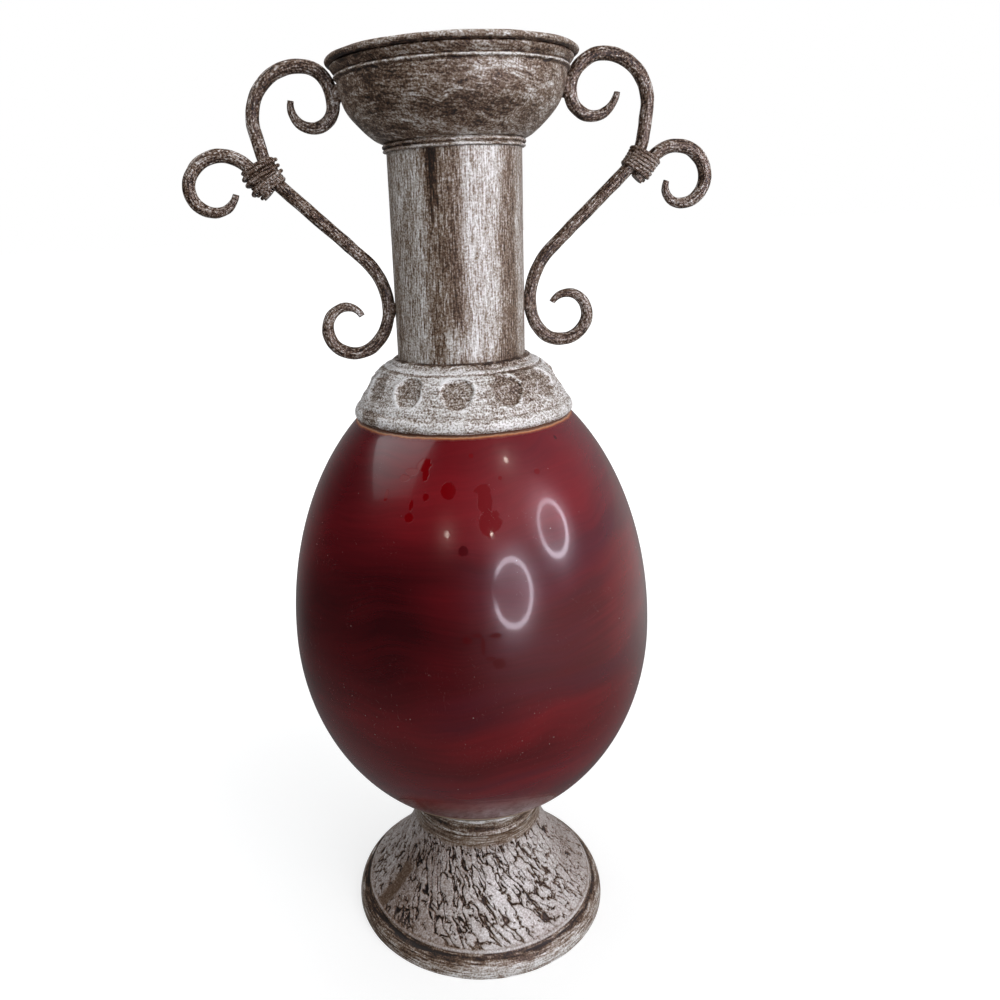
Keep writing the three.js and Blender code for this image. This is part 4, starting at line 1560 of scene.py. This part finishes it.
def white_floor():
    """A floor that is white to the camera, darker round the vase, and a dim room in the gloss."""
    deselect()
    bpy.ops.mesh.primitive_plane_add(size=60, location=(0, 0, -0.0002))
    floor = bpy.context.object
    floor.name = "floor"
    paper = bpy.data.materials.new("floor_paper")
    tree = empty_tree(paper)
    way = own_place(tree, "NORMALIZE")
    away = own_place(tree, "LENGTH", "Value")
    seen = ranged(tree, away, (0.12, 0.9, 0.66, 1.0)).outputs[0]
    far = reckoned(tree, "ADD", glow_towards(tree, way, *ROOM_GLOW), glow_towards(tree, way, *BACK_GLOW))
    gloss = ranged(tree, away, (0.15, 0.8, 0.11))
    tree.links.new(far, gloss.inputs["To Max"])
    glow = node(tree, "ShaderNodeEmission", ("Strength", ray_share(tree, gloss.outputs[0], seen)))
    reflected = node(tree, "ShaderNodeLightPath").outputs["Is Glossy Ray"]
    grey = ranged(tree, reflected, (0, 1, 0.45, 0.03), "LINEAR")
    diffuse = node(tree, "ShaderNodeBsdfDiffuse", ("Color", grey.outputs[0]))
    both = node(tree, "ShaderNodeAddShader", (0, diffuse.outputs[0]), (1, glow.outputs[0]))
    node(tree, "ShaderNodeOutputMaterial", (0, both.outputs[0]))
    floor.data.materials.append(paper)


def studio_world():
    """White to the camera, even light on the vase, and a dim room in the gloss."""
    world = bpy.data.worlds.new("studio")
    bpy.context.scene.world = world
    tree = empty_tree(world)
    way = node(tree, "ShaderNodeTexCoord").outputs["Generated"]
    reflected = node(tree, "ShaderNodeLightPath").outputs["Is Glossy Ray"]
    room = node(tree, "ShaderNodeBackground", ("Strength", glow_towards(tree, way, *ROOM_GLOW)))
    even = node(tree, "ShaderNodeBackground")
    white = node(tree, "ShaderNodeBackground")
    for made, tone in ((room, ROOM_TONE), (even, EVEN_TONE), (white, (1, 1, 1))):
        made.inputs["Color"].default_value = (*tone, 1)
    even.inputs["Strength"].default_value = 0.42
    lit = node(tree, "ShaderNodeMixShader", (0, reflected), (1, even.outputs[0]), (2, room.outputs[0]))
    share = ray_share(tree, glow_towards(tree, way, *BACK_GLOW))
    pick = node(tree, "ShaderNodeMixShader", (0, share), (1, lit.outputs[0]), (2, white.outputs[0]))
    node(tree, "ShaderNodeOutputWorld", (0, pick.outputs[0]))


def softbox(name, place, aim, wide, tall, power):
    """A rectangular lamp that neither the camera nor a reflection sees."""
    bpy.ops.object.light_add(type="AREA", location=place)
    made = bpy.context.object
    made.name = name
    made.data.shape = "RECTANGLE"
    made.data.size = wide
    made.data.size_y = tall
    made.data.energy = power
    made.visible_camera = False
    made.visible_glossy = False
    made.rotation_euler = facing(place, aim, "-Z")


def glowing(name, strength, tone):
    """A material that glows, by a number or by a function that makes its strength in a tree."""
    made = bpy.data.materials.new(name)
    tree = empty_tree(made)
    glow = node(tree, "ShaderNodeEmission")
    glow.inputs["Color"].default_value = (*tone, 1)
    if callable(strength):
        tree.links.new(strength(tree), glow.inputs["Strength"])
    else:
        glow.inputs["Strength"].default_value = strength
    node(tree, "ShaderNodeOutputMaterial", (0, glow.outputs[0]))
    return made


def gloss_only(lamp, material):
    """Leaves a glowing shape of the stage to be seen in reflections alone."""
    lamp.data.materials.append(material)
    lamp.visible_camera = False
    lamp.visible_diffuse = False
    lamp.visible_shadow = False
    lamp.visible_transmission = False


def ring_lamp(number, place, aim, radius, span):
    """A ring that glows unevenly round itself."""
    deselect()
    bpy.ops.mesh.primitive_torus_add(
        location=place, major_radius=radius, minor_radius=0.019, major_segments=64, minor_segments=10
    )
    made = bpy.context.object
    made.name = f"ring_lamp_{number}"
    made.rotation_euler = facing(place, aim, "Z")
    bpy.ops.object.transform_apply(location=False, rotation=True, scale=False)

    def uneven(where):
        return glow_towards(where, own_place(where, "NORMALIZE"), *span)

    gloss_only(made, glowing(f"ring_glow_{number}", uneven, WARM_GLOW))


def bulb(number, place, radius, strength):
    deselect()
    bpy.ops.mesh.primitive_ico_sphere_add(subdivisions=3, radius=radius, location=place)
    made = bpy.context.object
    made.name = f"bulb_{number}"
    gloss_only(made, glowing(f"bulb_glow_{number}", strength, BULB_TONE))


def window():
    """A window at the upper left, brighter towards two of its corners."""
    deselect()
    bpy.ops.mesh.primitive_plane_add(size=1, location=(0, 0, 0))
    made = bpy.context.object
    made.name = "window"
    corners = [
        (-1.0, -0.143, 0.808), (-0.733, -0.551, 0.983), (-0.892, 0.466, 1.058), (-0.395, -0.264, 1.392),
    ]
    set_points(made, np.array(corners))
    store(made, "strength", np.array([0.8, 0.3, 3.2, 2.3]))

    def by_corner(where):
        return node(where, "ShaderNodeAttribute", attribute_name="strength").outputs["Fac"]

    gloss_only(made, glowing("window_glow", by_corner, WINDOW_TONE))


def soft_panels():
    """Two discs whose glow falls off from the middle, behind the ring lamps."""
    haze = bpy.data.materials.new("soft_panel_glow")
    tree = empty_tree(haze)
    fall = ranged(tree, own_place(tree, "LENGTH", "Value"), (0.0, 0.5, 1.15, 0.0), "SMOOTHERSTEP")
    glow = node(tree, "ShaderNodeEmission", ("Strength", fall.outputs[0]))
    glow.inputs["Color"].default_value = (*WARM_GLOW, 1)
    clear = node(tree, "ShaderNodeBsdfTransparent")
    both = node(tree, "ShaderNodeAddShader", (0, glow.outputs[0]), (1, clear.outputs[0]))
    node(tree, "ShaderNodeOutputMaterial", (0, both.outputs[0]))
    for number, (place, aim) in enumerate(PANELS, 1):
        deselect()
        bpy.ops.mesh.primitive_circle_add(vertices=48, radius=0.6, fill_type="NGON", location=place)
        made = bpy.context.object
        made.name = f"soft_panel_{number}"
        made.rotation_euler = facing(place, aim, "Z")
        gloss_only(made, haze)


OPERATORS = [
    BuildFootRing, BuildFootBell, BuildFootFerrule, BuildEgg, BuildCollar, BuildNeck, BuildMouth,
    BuildHandles, BuildWelds, BuildBolt, BuildStudio,
]


class VasePanel(bpy.types.Panel):
    """Lists the vase's building steps."""

    bl_idname = "VIEW3D_PT_vase"
    bl_label = "Metal Vase"
    bl_space_type = "VIEW_3D"
    bl_region_type = "UI"
    bl_category = "Vase"

    def draw(self, context):
        for made in OPERATORS:
            self.layout.operator(made.bl_idname)


CLASSES = [VaseSizes, HandleSizes, VaseFinishes, VaseStudio, *OPERATORS, VasePanel]


def register():
    for kind in CLASSES:
        bpy.utils.register_class(kind)
    bpy.types.Scene.vase_sizes = PointerProperty(type=VaseSizes)
    bpy.types.Scene.vase_handles = PointerProperty(type=HandleSizes)
    bpy.types.Scene.vase_finishes = PointerProperty(type=VaseFinishes)
    bpy.types.Scene.vase_studio = PointerProperty(type=VaseStudio)


def unregister():
    for name in ("vase_sizes", "vase_handles", "vase_finishes", "vase_studio"):
        delattr(bpy.types.Scene, name)
    for kind in reversed(CLASSES):
        bpy.utils.unregister_class(kind)


def main():
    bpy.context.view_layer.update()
    register()
    for made in OPERATORS:
        group, step = made.bl_idname.split(".")
        getattr(getattr(bpy.ops, group), step)()


if __name__ == "__main__":
    main()
